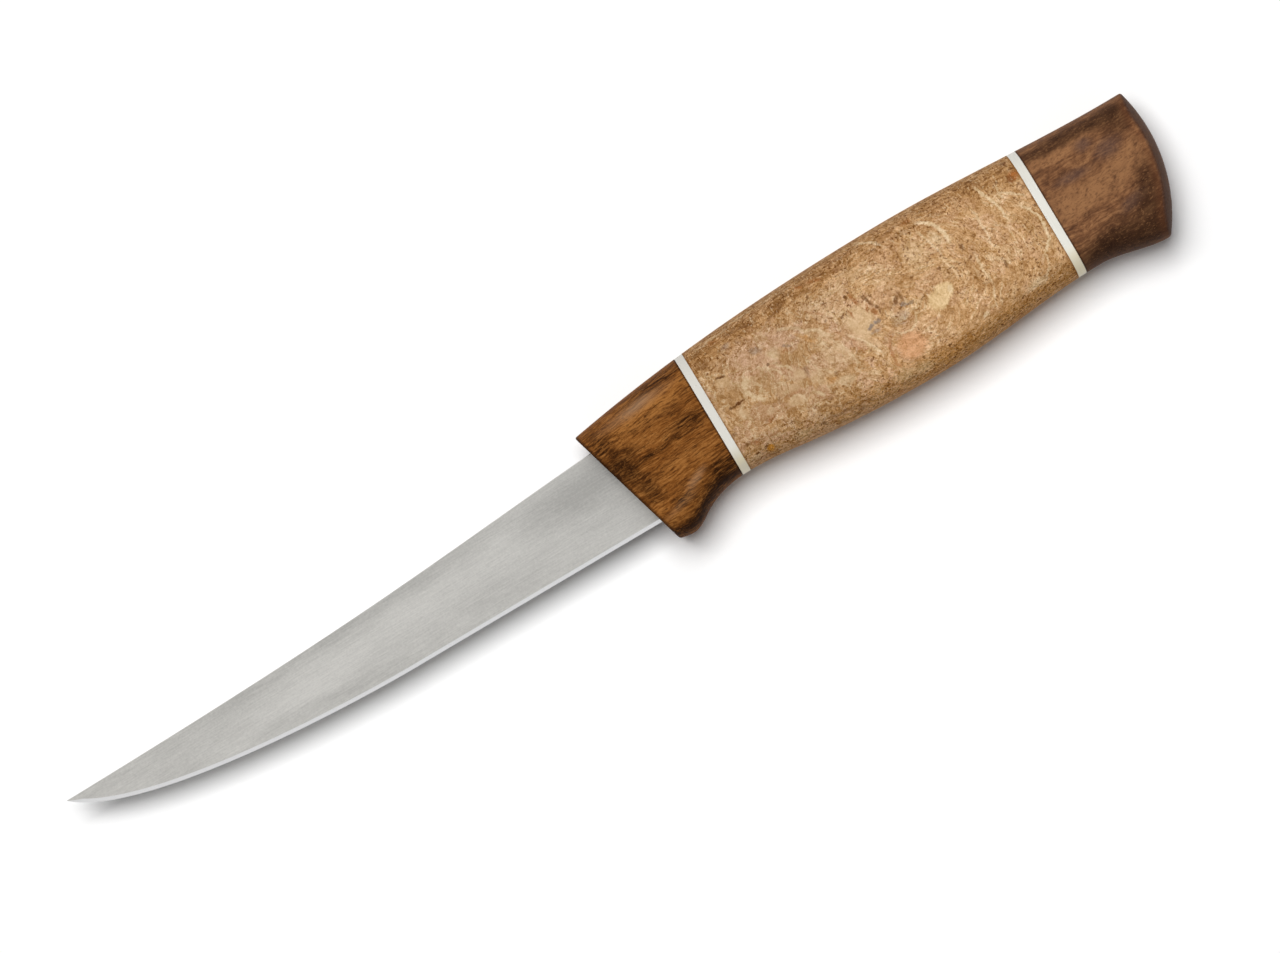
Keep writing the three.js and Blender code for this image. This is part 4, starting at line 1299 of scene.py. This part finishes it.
@dataclass(frozen=True)
class HandleForm:
    """Outline, section and end faces of the handle, shared by the blocks of its stack."""

    datum: Datum
    grip_front: float
    grip_rear: float
    pommel_front: float
    butt: float
    full_thickness: float
    bolster_length: float = 22.0 * MM
    back_front_height: float = 9.8 * MM
    back_front_slope: float = 0.178
    crest_height: float = 15.5 * MM
    crest_position: float = 47.5 * MM
    back_butt_height: float = 13.3 * MM
    back_butt_slope: float = 0.015
    guard_nose_depth: float = 14.4 * MM
    guard_depth: float = 18.0 * MM
    guard_position: float = 14.1 * MM
    guard_flank_depth: float = 16.2 * MM
    guard_flank_position: float = 10.0 * MM
    guard_flank_slope: float = 0.65
    hollow_depth: float = 13.1 * MM
    hollow_position: float = 1.6 * MM
    rise_depth: float = 13.9 * MM
    rise_position: float = 12.0 * MM
    rise_slope: float = 0.14
    palm_depth: float = 15.97 * MM
    palm_position: float = 44.5 * MM
    waist_depth: float = 13.68 * MM
    waist_position: float = 3.1 * MM
    flare_depth: float = 16.1 * MM
    flare_position: float = 7.3 * MM
    butt_depth: float = 14.4 * MM
    front_thickness: float = 16.0 * MM
    front_thickness_slope: float = 0.36
    taper_position: float = 5.0 * MM
    edge_round: float = 6.0 * MM
    front_slant: float = math.radians(15.6)
    butt_radius: float = 33.6 * MM
    crown_height: float = 4.5 * MM
    arc_steps: int = 40
    flat_steps: int = 16
    trim_passes: int = 16

    @classmethod
    def from_frame(cls) -> "HandleForm":
        """Read the joints and the thickness from the CAD nodes.

        Returns:
            The form.
        """
        datum = Datum.from_frame(cls.guard_depth)
        grip_low, grip_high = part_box("grip")
        pommel_low, pommel_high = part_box("pommel")
        return cls(
            datum=datum,
            grip_front=grip_low.x - datum.joint,
            grip_rear=grip_high.x - datum.joint,
            pommel_front=pommel_low.x - datum.joint,
            butt=pommel_high.x - datum.joint,
            full_thickness=grip_high.z - grip_low.z,
        )

    @property
    def front_corner(self) -> float:
        """Place ahead of every point of the bolster."""
        return -self.bolster_length - self.crest_height * math.tan(self.front_slant)

    def back(self) -> SmoothLine:
        """Give the line of the back."""
        return SmoothLine((
            (self.front_corner, self.back_front_height, self.back_front_slope),
            (self.crest_position, self.crest_height, 0.0),
            (self.butt, self.back_butt_height, self.back_butt_slope),
        ))

    def belly(self) -> SmoothLine:
        """Give the line of the belly, as depths below the axis."""
        return SmoothLine((
            (self.front_corner, self.guard_nose_depth, 0.0),
            (-self.guard_position, self.guard_depth, 0.0),
            (-self.guard_flank_position, self.guard_flank_depth, -self.guard_flank_slope),
            (self.hollow_position, self.hollow_depth, 0.0),
            (self.rise_position, self.rise_depth, self.rise_slope),
            (self.palm_position, self.palm_depth, 0.0),
            (self.pommel_front + self.waist_position, self.waist_depth, 0.0),
            (self.butt - self.flare_position, self.flare_depth, 0.0),
            (self.butt, self.butt_depth, 0.0),
        ))

    def thickness(self) -> SmoothLine:
        """Give the distance between the handle's sides."""
        return SmoothLine((
            (self.front_corner, self.front_thickness, self.front_thickness_slope),
            (-self.taper_position, self.full_thickness, 0.0),
            (self.butt, self.full_thickness, 0.0),
        ))

    def columns(self) -> list[Column]:
        """List the lengthwise lines round the section.

        Returns:
            The columns, from the far side over the back to the near side and on under the belly.
        """
        made = []
        for end in (1, -1):
            turns = [math.pi * (step / self.arc_steps - 0.5) for step in range(self.arc_steps + 1)]
            made += [Column(end, turn, 0.0) for turn in turns]
            shares = [step / self.flat_steps for step in range(1, self.flat_steps)]
            made += [Column(end, math.pi / 2, share) for share in shares]
        return made

    def square_cut(self, x: float) -> Cut:
        """Cut the handle square."""
        return lambda height, depth: x

    def front_cut(self, height: float, depth: float) -> float:
        """Give the place of the slanted front face."""
        return -self.bolster_length - height * math.tan(self.front_slant)

    def butt_cut(self, height: float, depth: float) -> float:
        """Give the place of the domed butt."""
        reach = self.butt_radius ** 2 - (height - self.crown_height) ** 2 - depth ** 2
        return self.butt - self.butt_radius + math.sqrt(reach)

    def ring(self, cut: Cut, inset: float = 0.0) -> Ring:
        """Draw the ring where the handle's surface meets a cut.

        Args:
            cut: The surface that ends the ring.
            inset: Distance by which the section is drawn in.

        Returns:
            The points of the ring in the frame.
        """
        back = self.back()
        belly = self.belly()
        thickness = self.thickness()
        made = []
        for column in self.columns():
            x = cut(0.0, 0.0)
            for _ in range(self.trim_passes):
                half = thickness.at(x) / 2 - inset
                flats = [line.at(x) - inset - self.edge_round for line in (back, belly)]
                flat, next_flat = flats if column.end > 0 else reversed(flats)
                start = flat - (flat + next_flat) * column.share
                height = column.end * (start + self.edge_round * math.cos(column.turn))
                depth = column.end * half * math.sin(column.turn)
                trimmed = cut(height, depth)
                if abs(trimmed - x) < WELD:
                    break
                x = trimmed
            made.append(self.datum.place(trimmed, height, depth))
        return made

    def rings(self, front: Cut, rear: Cut, pitch: float, hold: float) -> list[Ring]:
        """Draw the rings of a block from one cut to another.

        Args:
            front: Front end.
            rear: Rear end.
            pitch: Distance between rings.
            hold: Distance from each end to a ring that keeps the rounding of the edge narrow.

        Returns:
            The rings from front to rear.
        """
        span = rear(0.0, 0.0) - front(0.0, 0.0)
        steps = max(2, math.ceil(span / pitch))
        inner = [step / steps for step in range(1, steps) if hold < span * step / steps < span - hold]
        shares = [0.0, hold / span, *inner, 1 - hold / span, 1.0]

        def between(share: float) -> Cut:
            return lambda height, depth: front(height, depth) * (1 - share) + rear(height, depth) * share

        return [self.ring(between(share)) for share in shares]


@dataclass(frozen=True)
class TangForm:
    """The tang inside the handle, and the slots that it is glued into."""

    datum: Datum
    end: float
    height: float = 10.0 * MM
    end_height: float = 6.5 * MM
    drop: float = 0.5 * MM
    thickness: float = 1.3 * MM
    room: float = 0.25 * MM
    slot_half: float = 2.2 * MM
    slot_straight: float = 4.0 * MM
    slot_end_room: float = 1.6 * MM

    def half_height(self, x: float, start: float) -> float:
        """Give half the tang's height at a place, for a tang that starts at another."""
        along = (x - start) / (self.end - start)
        return (self.height + (self.end_height - self.height) * along) / 2

    def close_ring(self, cut: Cut, start: float, columns: Sequence[Column], grow: float) -> Ring:
        """Draw a ring close round the tang.

        Args:
            cut: Surface on which the ring lies.
            start: Place where the tang starts.
            columns: Columns of the ring.
            grow: Room left round the tang.

        Returns:
            The ring in the frame.
        """
        half = self.half_height(cut(0.0, 0.0), start) + grow
        wide = self.thickness / 2 + grow
        made = []
        for column in columns:
            level = column.end * half * (1 - 2 * column.share) - self.drop
            depth = column.end * wide * math.sin(column.turn)
            made.append(self.datum.place(cut(level, depth), level, depth))
        return made

    def slot_ring(self, x: float, columns: Sequence[Column]) -> Ring:
        """Draw a ring of the wide, round-ended slot.

        Args:
            x: Place of the ring.
            columns: Columns of the ring.

        Returns:
            The ring in the frame.
        """
        made = []
        for column in columns:
            straight = self.slot_straight * (1 - 2 * column.share)
            level = column.end * (straight + self.slot_half * math.cos(column.turn)) - self.drop
            made.append(self.datum.place(x, level, column.end * self.slot_half * math.sin(column.turn)))
        return made


@dataclass
class Piece:
    """A piece of the knife that stands for one CAD node."""

    node: str
    slot: str
    finish: Finish
    form: HandleForm
    tang: TangForm

    def mesh(self) -> bmesh.types.BMesh:
        """Model the piece."""
        raise NotImplementedError

    def build(self) -> bpy.types.Object:
        """Model the piece, dress it and tie it to the frame.

        Returns:
            The finished object.
        """
        piece = RingMesh.to_piece(self.mesh(), f"{self.node}_surface")
        self.dress(piece)
        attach(piece, BODY)
        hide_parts(self.node)
        return piece

    def dress(self, piece: bpy.types.Object) -> None:
        """Give the piece its finish."""
        piece.data.materials.append(self.finish.material(self.form.datum))


@dataclass
class SquareBlock(Piece):
    """A block with square ends and the wide tang slot through it: a spacer or the grip."""

    front: float
    rear: float
    pitch: float = 1.0 * MM
    hold: float = 0.2 * MM
    cap: float = 0.8 * MM

    def mesh(self) -> bmesh.types.BMesh:
        """Model the block.

        Returns:
            The closed mesh.
        """
        columns = self.form.columns()
        ends = [self.form.square_cut(x) for x in (self.front, self.rear)]
        body = self.form.rings(*ends, self.pitch, self.hold)
        caps = [self.form.ring(end, self.cap) for end in ends]
        slots = [self.tang.slot_ring(x, columns) for x in (self.front, self.rear)]
        lead = [slots[0], caps[0]]
        bm = RingMesh([*lead, *body, caps[1], slots[1]], closed=True).build()
        for row in (len(lead), len(lead) + len(body) - 1):
            RingMesh.ease(bm, row, SEAM_EASE, SEAM_STEPS)
        return bm


@dataclass
class Bolster(Piece):
    """The front block: slanted face, finger guard and a close slot for the tang."""

    pitch: float = 0.6 * MM
    front_ease: float = 0.4 * MM
    hold: float = 0.6 * MM
    cap: float = 1.2 * MM

    def mesh(self) -> bmesh.types.BMesh:
        """Model the bolster.

        Returns:
            The closed mesh.
        """
        columns = self.form.columns()
        ends = [self.form.front_cut, self.form.square_cut(0.0)]
        body = self.form.rings(*ends, self.pitch, self.hold)
        caps = [self.form.ring(end, self.cap) for end in ends]
        start = -self.form.bolster_length
        slots = [self.tang.close_ring(end, start, columns, self.tang.room) for end in ends]
        lead = [slots[0], caps[0]]
        bm = RingMesh([*lead, *body, caps[1], slots[1]], closed=True).build()
        RingMesh.ease(bm, len(lead), self.front_ease, RIM_STEPS)
        RingMesh.ease(bm, len(lead) + len(body) - 1, SEAM_EASE, SEAM_STEPS)
        return bm


@dataclass
class Pommel(Piece):
    """The end block: flared, with a domed butt and the blind end of the tang slot."""

    pitch: float = 0.7 * MM
    butt_ease: float = 0.4 * MM
    hold: float = 0.6 * MM
    cap: float = 0.8 * MM
    dome_rings: int = 16

    def mesh(self) -> bmesh.types.BMesh:
        """Model the pommel.

        Returns:
            The closed mesh.
        """
        form = self.form
        columns = form.columns()
        front = form.square_cut(form.pommel_front)
        body = form.rings(front, form.butt_cut, self.pitch, self.hold)
        cap = form.ring(front, self.cap)
        slot_end = self.tang.end + self.tang.slot_end_room
        slots = [self.tang.slot_ring(x, columns) for x in (slot_end, form.pommel_front)]
        pole = [form.datum.place(slot_end, -self.tang.drop, 0.0)] * len(columns)
        lead = [pole, *slots, cap]
        bm = RingMesh([*lead, *body, *self.dome(body[-1])], closed=False).build()
        RingMesh.ease(bm, len(lead), SEAM_EASE, SEAM_STEPS)
        RingMesh.ease(bm, len(lead) + len(body) - 1, self.butt_ease, RIM_STEPS)
        return bm

    def dome(self, rim: Ring) -> list[Ring]:
        """Draw the rings of the domed butt.

        Args:
            rim: The ring round the butt.

        Returns:
            The rings from the rim to the crown.
        """
        datum = self.form.datum
        crown = self.form.crown_height
        made = []
        for step in range(self.dome_rings - 1, -1, -1):
            share = step / self.dome_rings
            ring = []
            for point in rim:
                height = crown + (point.y - datum.axis - crown) * share
                depth = (point.z - datum.middle) * share
                ring.append(datum.place(self.form.butt_cut(height, depth), height, depth))
            made.append(ring)
        return made


@dataclass
class Blade(Piece):
    """The flat-ground blade with its edge bevel, and the tang that runs on from it."""

    edge_finish: GroundEdge
    point: float
    point_height: float = 0.2 * MM
    spine_point_slope: float = 0.012
    spine_middle_height: float = 2.5 * MM
    spine_middle_position: float = 75.5 * MM
    spine_middle_slope: float = 0.061
    spine_heel_height: float = 6.05 * MM
    spine_heel_slope: float = 0.062
    edge_heel_depth: float = 12.9 * MM
    sweep_depth: float = 12.6 * MM
    sweep_length: float = 70.5 * MM
    point_angle: float = math.radians(42.5)
    point_pull: float = 18.0 * MM
    spine_thickness: float = 2.0 * MM
    edge_thickness: float = 0.35 * MM
    bevel_width: float = 0.75 * MM
    spine_corner: float = 0.2 * MM
    corner_fall: float = 0.3
    sweep_crowding: float = 1.5
    point_bevel_share: float = 0.4
    point_corner_share: float = 0.4
    seat_gap: float = 0.02 * MM
    sweep_steps: int = 72
    straight_steps: int = 30
    flat_steps: int = 8

    @property
    def side_count(self) -> int:
        """Number of points on one side of a section, from its spine corner to the bevel's shoulder."""
        return self.flat_steps + 3

    def spine(self) -> SmoothLine:
        """Give the line of the spine."""
        return SmoothLine((
            (self.point, self.point_height, self.spine_point_slope),
            (self.point + self.spine_middle_position, self.spine_middle_height, self.spine_middle_slope),
            (-self.form.bolster_length, self.spine_heel_height, self.spine_heel_slope),
        ))

    def sweep(self, t: float) -> tuple[Vector, float]:
        """Give the edge where it sweeps up to the point.

        Args:
            t: Share of the sweep, from the point.

        Returns:
            Place and height of the edge, and its slope.
        """
        tip = Vector((self.point, self.point_height))
        pull = tip + self.point_pull * Vector((math.cos(self.point_angle), -math.sin(self.point_angle)))
        end = Vector((self.point + self.sweep_length, -self.sweep_depth))
        rest = 1 - t
        place = rest ** 3 * tip + 3 * rest ** 2 * t * pull + (3 * rest * t ** 2 + t ** 3) * end
        run = rest ** 2 * (pull - tip) + 2 * rest * t * (end - pull)
        slope = run.y / run.x if t < 1 else self.heel_slope()
        return place, slope

    def heel_cut(self, height: float, depth: float) -> float:
        """Give the place of the heel, seated against the bolster."""
        return self.form.front_cut(height, depth) - self.seat_gap

    def heel_slope(self) -> float:
        """Give the slope of the straight edge."""
        run = self.heel_cut(-self.edge_heel_depth, 0.0) - self.point - self.sweep_length
        return (self.sweep_depth - self.edge_heel_depth) / run

    def section(self, x: float, edge: float, slope: float, cut: Cut | None = None) -> Ring:
        """Draw the blade's section.

        Args:
            x: Place of the section.
            edge: Height of the cutting edge there.
            slope: Slope of the edge.
            cut: Slanted surface that the section is moved to, if any.

        Returns:
            The ring, from the near spine corner down over the edge and up the far side.
        """
        top = self.spine().at(x)
        bevel = min(self.bevel_width * math.hypot(1, slope), (top - edge) * self.point_bevel_share)
        shoulder = edge + bevel
        shoulder_half = self.edge_thickness / 2 * min(1.0, bevel / self.bevel_width)
        grind_height = self.spine_heel_height + self.edge_heel_depth - self.bevel_width
        grind = (self.spine_thickness - self.edge_thickness) / 2 / grind_height
        spine_half = shoulder_half + grind * (top - shoulder)
        corner = min(self.spine_corner, spine_half * self.point_corner_share)
        fall = self.corner_fall * corner
        near = [(top, spine_half - corner), (top - fall, spine_half - fall)]
        for step in range(self.flat_steps + 1):
            share = step / self.flat_steps
            start = top - corner
            level = start + (shoulder - start) * share
            near.append((level, spine_half + (shoulder_half - spine_half) * share))
        outline = [*near, (edge, 0.0), *[(level, -half) for level, half in reversed(near)]]
        place = self.form.datum.place
        return [place(cut(level, half) if cut else x, level, half) for level, half in outline]

    def tang_ring(self, cut: Cut) -> Ring:
        """Draw a ring of the tang with as many points as the blade's section.

        Args:
            cut: Surface on which the ring lies.

        Returns:
            The ring in the frame.
        """
        half = self.tang.half_height(cut(0.0, 0.0), -self.form.bolster_length)
        wide = self.tang.thickness / 2
        count = self.side_count
        side = [(half - 2 * half * step / (count - 1) - self.tang.drop, wide) for step in range(count)]
        outline = [*side, (-half - self.tang.drop, 0.0), *[(level, -deep) for level, deep in reversed(side)]]
        return [self.form.datum.place(cut(level, deep), level, deep) for level, deep in outline]

    def mesh(self) -> bmesh.types.BMesh:
        """Model the blade.

        Returns:
            The closed mesh.
        """
        form = self.form
        count = 2 * self.side_count + 1
        tip = [form.datum.place(self.point, self.point_height, 0.0)] * count
        rings = [tip]
        for step in range(1, self.sweep_steps + 1):
            place, slope = self.sweep((step / self.sweep_steps) ** self.sweep_crowding)
            rings.append(self.section(place.x, place.y, slope))
        slope = self.heel_slope()
        start = self.point + self.sweep_length
        run = self.heel_cut(self.spine_heel_height, 0.0) - start
        for step in range(1, self.straight_steps):
            along = run * step / self.straight_steps
            rings.append(self.section(start + along, -self.sweep_depth + slope * along, slope))
        heel = self.heel_cut(self.spine_heel_height, 0.0)
        heel_row = len(rings)
        rings.append(self.section(heel, -self.edge_heel_depth, slope, self.heel_cut))
        end = form.square_cut(self.tang.end)
        rings += [self.tang_ring(self.heel_cut), self.tang_ring(end)]
        rings.append([form.datum.place(self.tang.end, -self.tang.drop, 0.0)] * count)
        bm = RingMesh(rings, closed=False).build()
        self.sharpen(bm, heel_row)
        return bm

    def sharpen(self, bm: bmesh.types.BMesh, heel_row: int) -> None:
        """Keep the lines of spine, bevel and heel crisp, and give the bevel's faces the second finish.

        Args:
            bm: The blade's mesh.
            heel_row: Number of the ring at the heel, where the tang starts.
        """
        column = bm.verts.layers.int["column"]
        row = bm.verts.layers.int["row"]
        shoulder = self.side_count - 1
        last = 2 * self.side_count
        bevel = {shoulder, shoulder + 1, shoulder + 2}
        crisp = bevel | {0, 2, last - 2, last}
        for edge in bm.edges:
            first, second = edge.verts
            along = first[column] == second[column] and first[column] in crisp
            across = first[row] == second[row] and first[row] >= heel_row
            edge.smooth = not (along or across)
        for face in bm.faces:
            on_bevel = all(vert[column] in bevel and vert[row] <= heel_row for vert in face.verts)
            face.material_index = int(on_bevel)

    def dress(self, piece: bpy.types.Object) -> None:
        """Give the blade its two finishes."""
        for finish in (self.finish, self.edge_finish):
            piece.data.materials.append(finish.material(self.form.datum))


@dataclass(frozen=True)
class Lamp:
    """A soft rectangular lamp aimed at the knife."""

    name: str
    azimuth: float
    elevation: float
    distance: float
    width: float
    height: float
    power: float

    def build(self, target: Vector) -> bpy.types.Object:
        """Hang the lamp.

        Args:
            target: Point that it faces.

        Returns:
            The lamp.
        """
        data = bpy.data.lights.new(self.name, "AREA")
        data.shape = "RECTANGLE"
        data.size = self.width
        data.size_y = self.height
        data.energy = self.power
        lamp = bpy.data.objects.new(self.name, data)
        bpy.context.scene.collection.objects.link(lamp)
        azimuth = math.radians(self.azimuth)
        elevation = math.radians(self.elevation)
        level = math.cos(elevation)
        away = Vector((level * math.cos(azimuth), level * math.sin(azimuth), math.sin(elevation)))
        lamp.location = target + away * self.distance
        lamp.rotation_euler = away.to_track_quat("Z", "Y").to_euler()
        lamp.visible_camera = False
        lamp.visible_glossy = False
        return lamp


@dataclass
class Studio:
    """White table, soft light and the camera above."""

    datum: Datum
    view_width: float = 252.4 * MM
    view_x: float = -17.62 * MM
    view_height: float = -2.99 * MM
    view_turn: float = math.radians(30.9)
    camera_distance: float = 2.6
    sensor_width: float = 36.0
    clip_end: float = 100.0
    floor_half: float = 6.0
    floor_level: float = 0.96
    floor_lift: float = 0.035
    ambient: float = 0.17
    lamps: tuple[Lamp, ...] = (
        Lamp("key", 98.0, 75.2, 5.2, 2.3, 2.3, 265.6),
    )

    def build(self) -> None:
        """Set up the floor, the light and the camera."""
        target = self.datum.place(self.view_x, self.view_height, 0.0)
        self.floor()
        for lamp in self.lamps:
            lamp.build(target)
        self.world()
        self.camera(target)
        bpy.context.scene.view_settings.view_transform = "Standard"

    def floor(self) -> None:
        """Lay the white table under the knife."""
        bm = bmesh.new()
        bmesh.ops.create_grid(bm, x_segments=2, y_segments=2, size=self.floor_half)
        mesh = bpy.data.meshes.new("table")
        bm.to_mesh(mesh)
        bm.free()
        table = bpy.data.objects.new("table", mesh)
        bpy.context.scene.collection.objects.link(table)
        graph = Graph.of_material("white_table")
        level = self.floor_level
        body = graph.node("ShaderNodeBsdfDiffuse", None, {"Color": (level, level, level, 1.0)})
        seen = self.seen(graph)
        lift = graph.node("ShaderNodeEmission", None, {"Strength": seen * self.floor_lift})
        both = graph.node("ShaderNodeAddShader", None, {0: body.outputs[0], 1: lift.outputs[0]})
        graph.node("ShaderNodeOutputMaterial", None, {"Surface": both.outputs[0]})
        mesh.materials.append(graph.owner)

    @staticmethod
    def seen(graph: Graph) -> Value:
        """Tell the rays that show the background.

        Args:
            graph: Graph of the floor or the world.

        Returns:
            1 for camera, glossy and transmission rays.
        """
        path = graph.node("ShaderNodeLightPath")
        rays = [Value(graph, path.outputs[f"Is {kind} Ray"]) for kind in ("Camera", "Glossy", "Transmission")]
        return graph.math("MAXIMUM", graph.math("MAXIMUM", rays[0], rays[1]), rays[2])

    def world(self) -> None:
        """Fill the room with even light, and show it white."""
        graph = Graph(bpy.data.worlds.new("white_room"))
        bpy.context.scene.world = graph.owner
        strength = self.ambient + self.seen(graph) * (1 - self.ambient)
        light = graph.node("ShaderNodeBackground", None, {"Strength": strength})
        graph.node("ShaderNodeOutputWorld", None, {"Surface": light.outputs[0]})

    def camera(self, target: Vector) -> None:
        """Hang the camera straight above the knife.

        Args:
            target: Point at the middle of the picture.
        """
        data = bpy.data.cameras.new("camera")
        data.sensor_width = self.sensor_width
        data.lens = self.sensor_width * self.camera_distance / self.view_width
        data.clip_end = self.clip_end
        camera = bpy.data.objects.new("camera", data)
        camera.location = target + Vector((0.0, 0.0, self.camera_distance))
        camera.rotation_euler = (0.0, 0.0, -self.view_turn)
        bpy.context.scene.collection.objects.link(camera)
        bpy.context.scene.camera = camera


def main() -> None:
    """Build the knife, dress it and light it."""
    logging.basicConfig(level=logging.INFO, format="%(message)s")
    form = HandleForm.from_frame()
    datum = form.datum
    blade_low, blade_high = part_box("blade")
    tang = TangForm(datum, blade_high.x - datum.joint)
    ivory = IvorySpacer()
    pieces = (
        Blade("blade", "satin_steel", SatinSteel(), form, tang, GroundEdge(), blade_low.x - datum.joint),
        Bolster("front_bolster", "walnut", Walnut(), form, tang),
        SquareBlock("front_spacer", "ivory_spacer", ivory, form, tang, 0.0, form.grip_front),
        SquareBlock("grip", "burl", Burl(), form, tang, form.grip_front, form.grip_rear),
        SquareBlock("rear_spacer", "ivory_spacer", ivory, form, tang, form.grip_rear, form.pommel_front),
        Pommel("pommel", "dark_walnut", DarkWalnut(), form, tang),
    )
    for piece in pieces:
        made = piece.build()
        LOG.info("%s: %d faces", made.name, len(made.data.polygons))
    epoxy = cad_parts["tang_epoxy"]
    epoxy.data.materials.clear()
    epoxy.data.materials.append(Epoxy().material(datum))
    LOG.info("%s: dressed as it is", epoxy.name)
    Studio(datum).build()


if __name__ == "__main__":
    main()
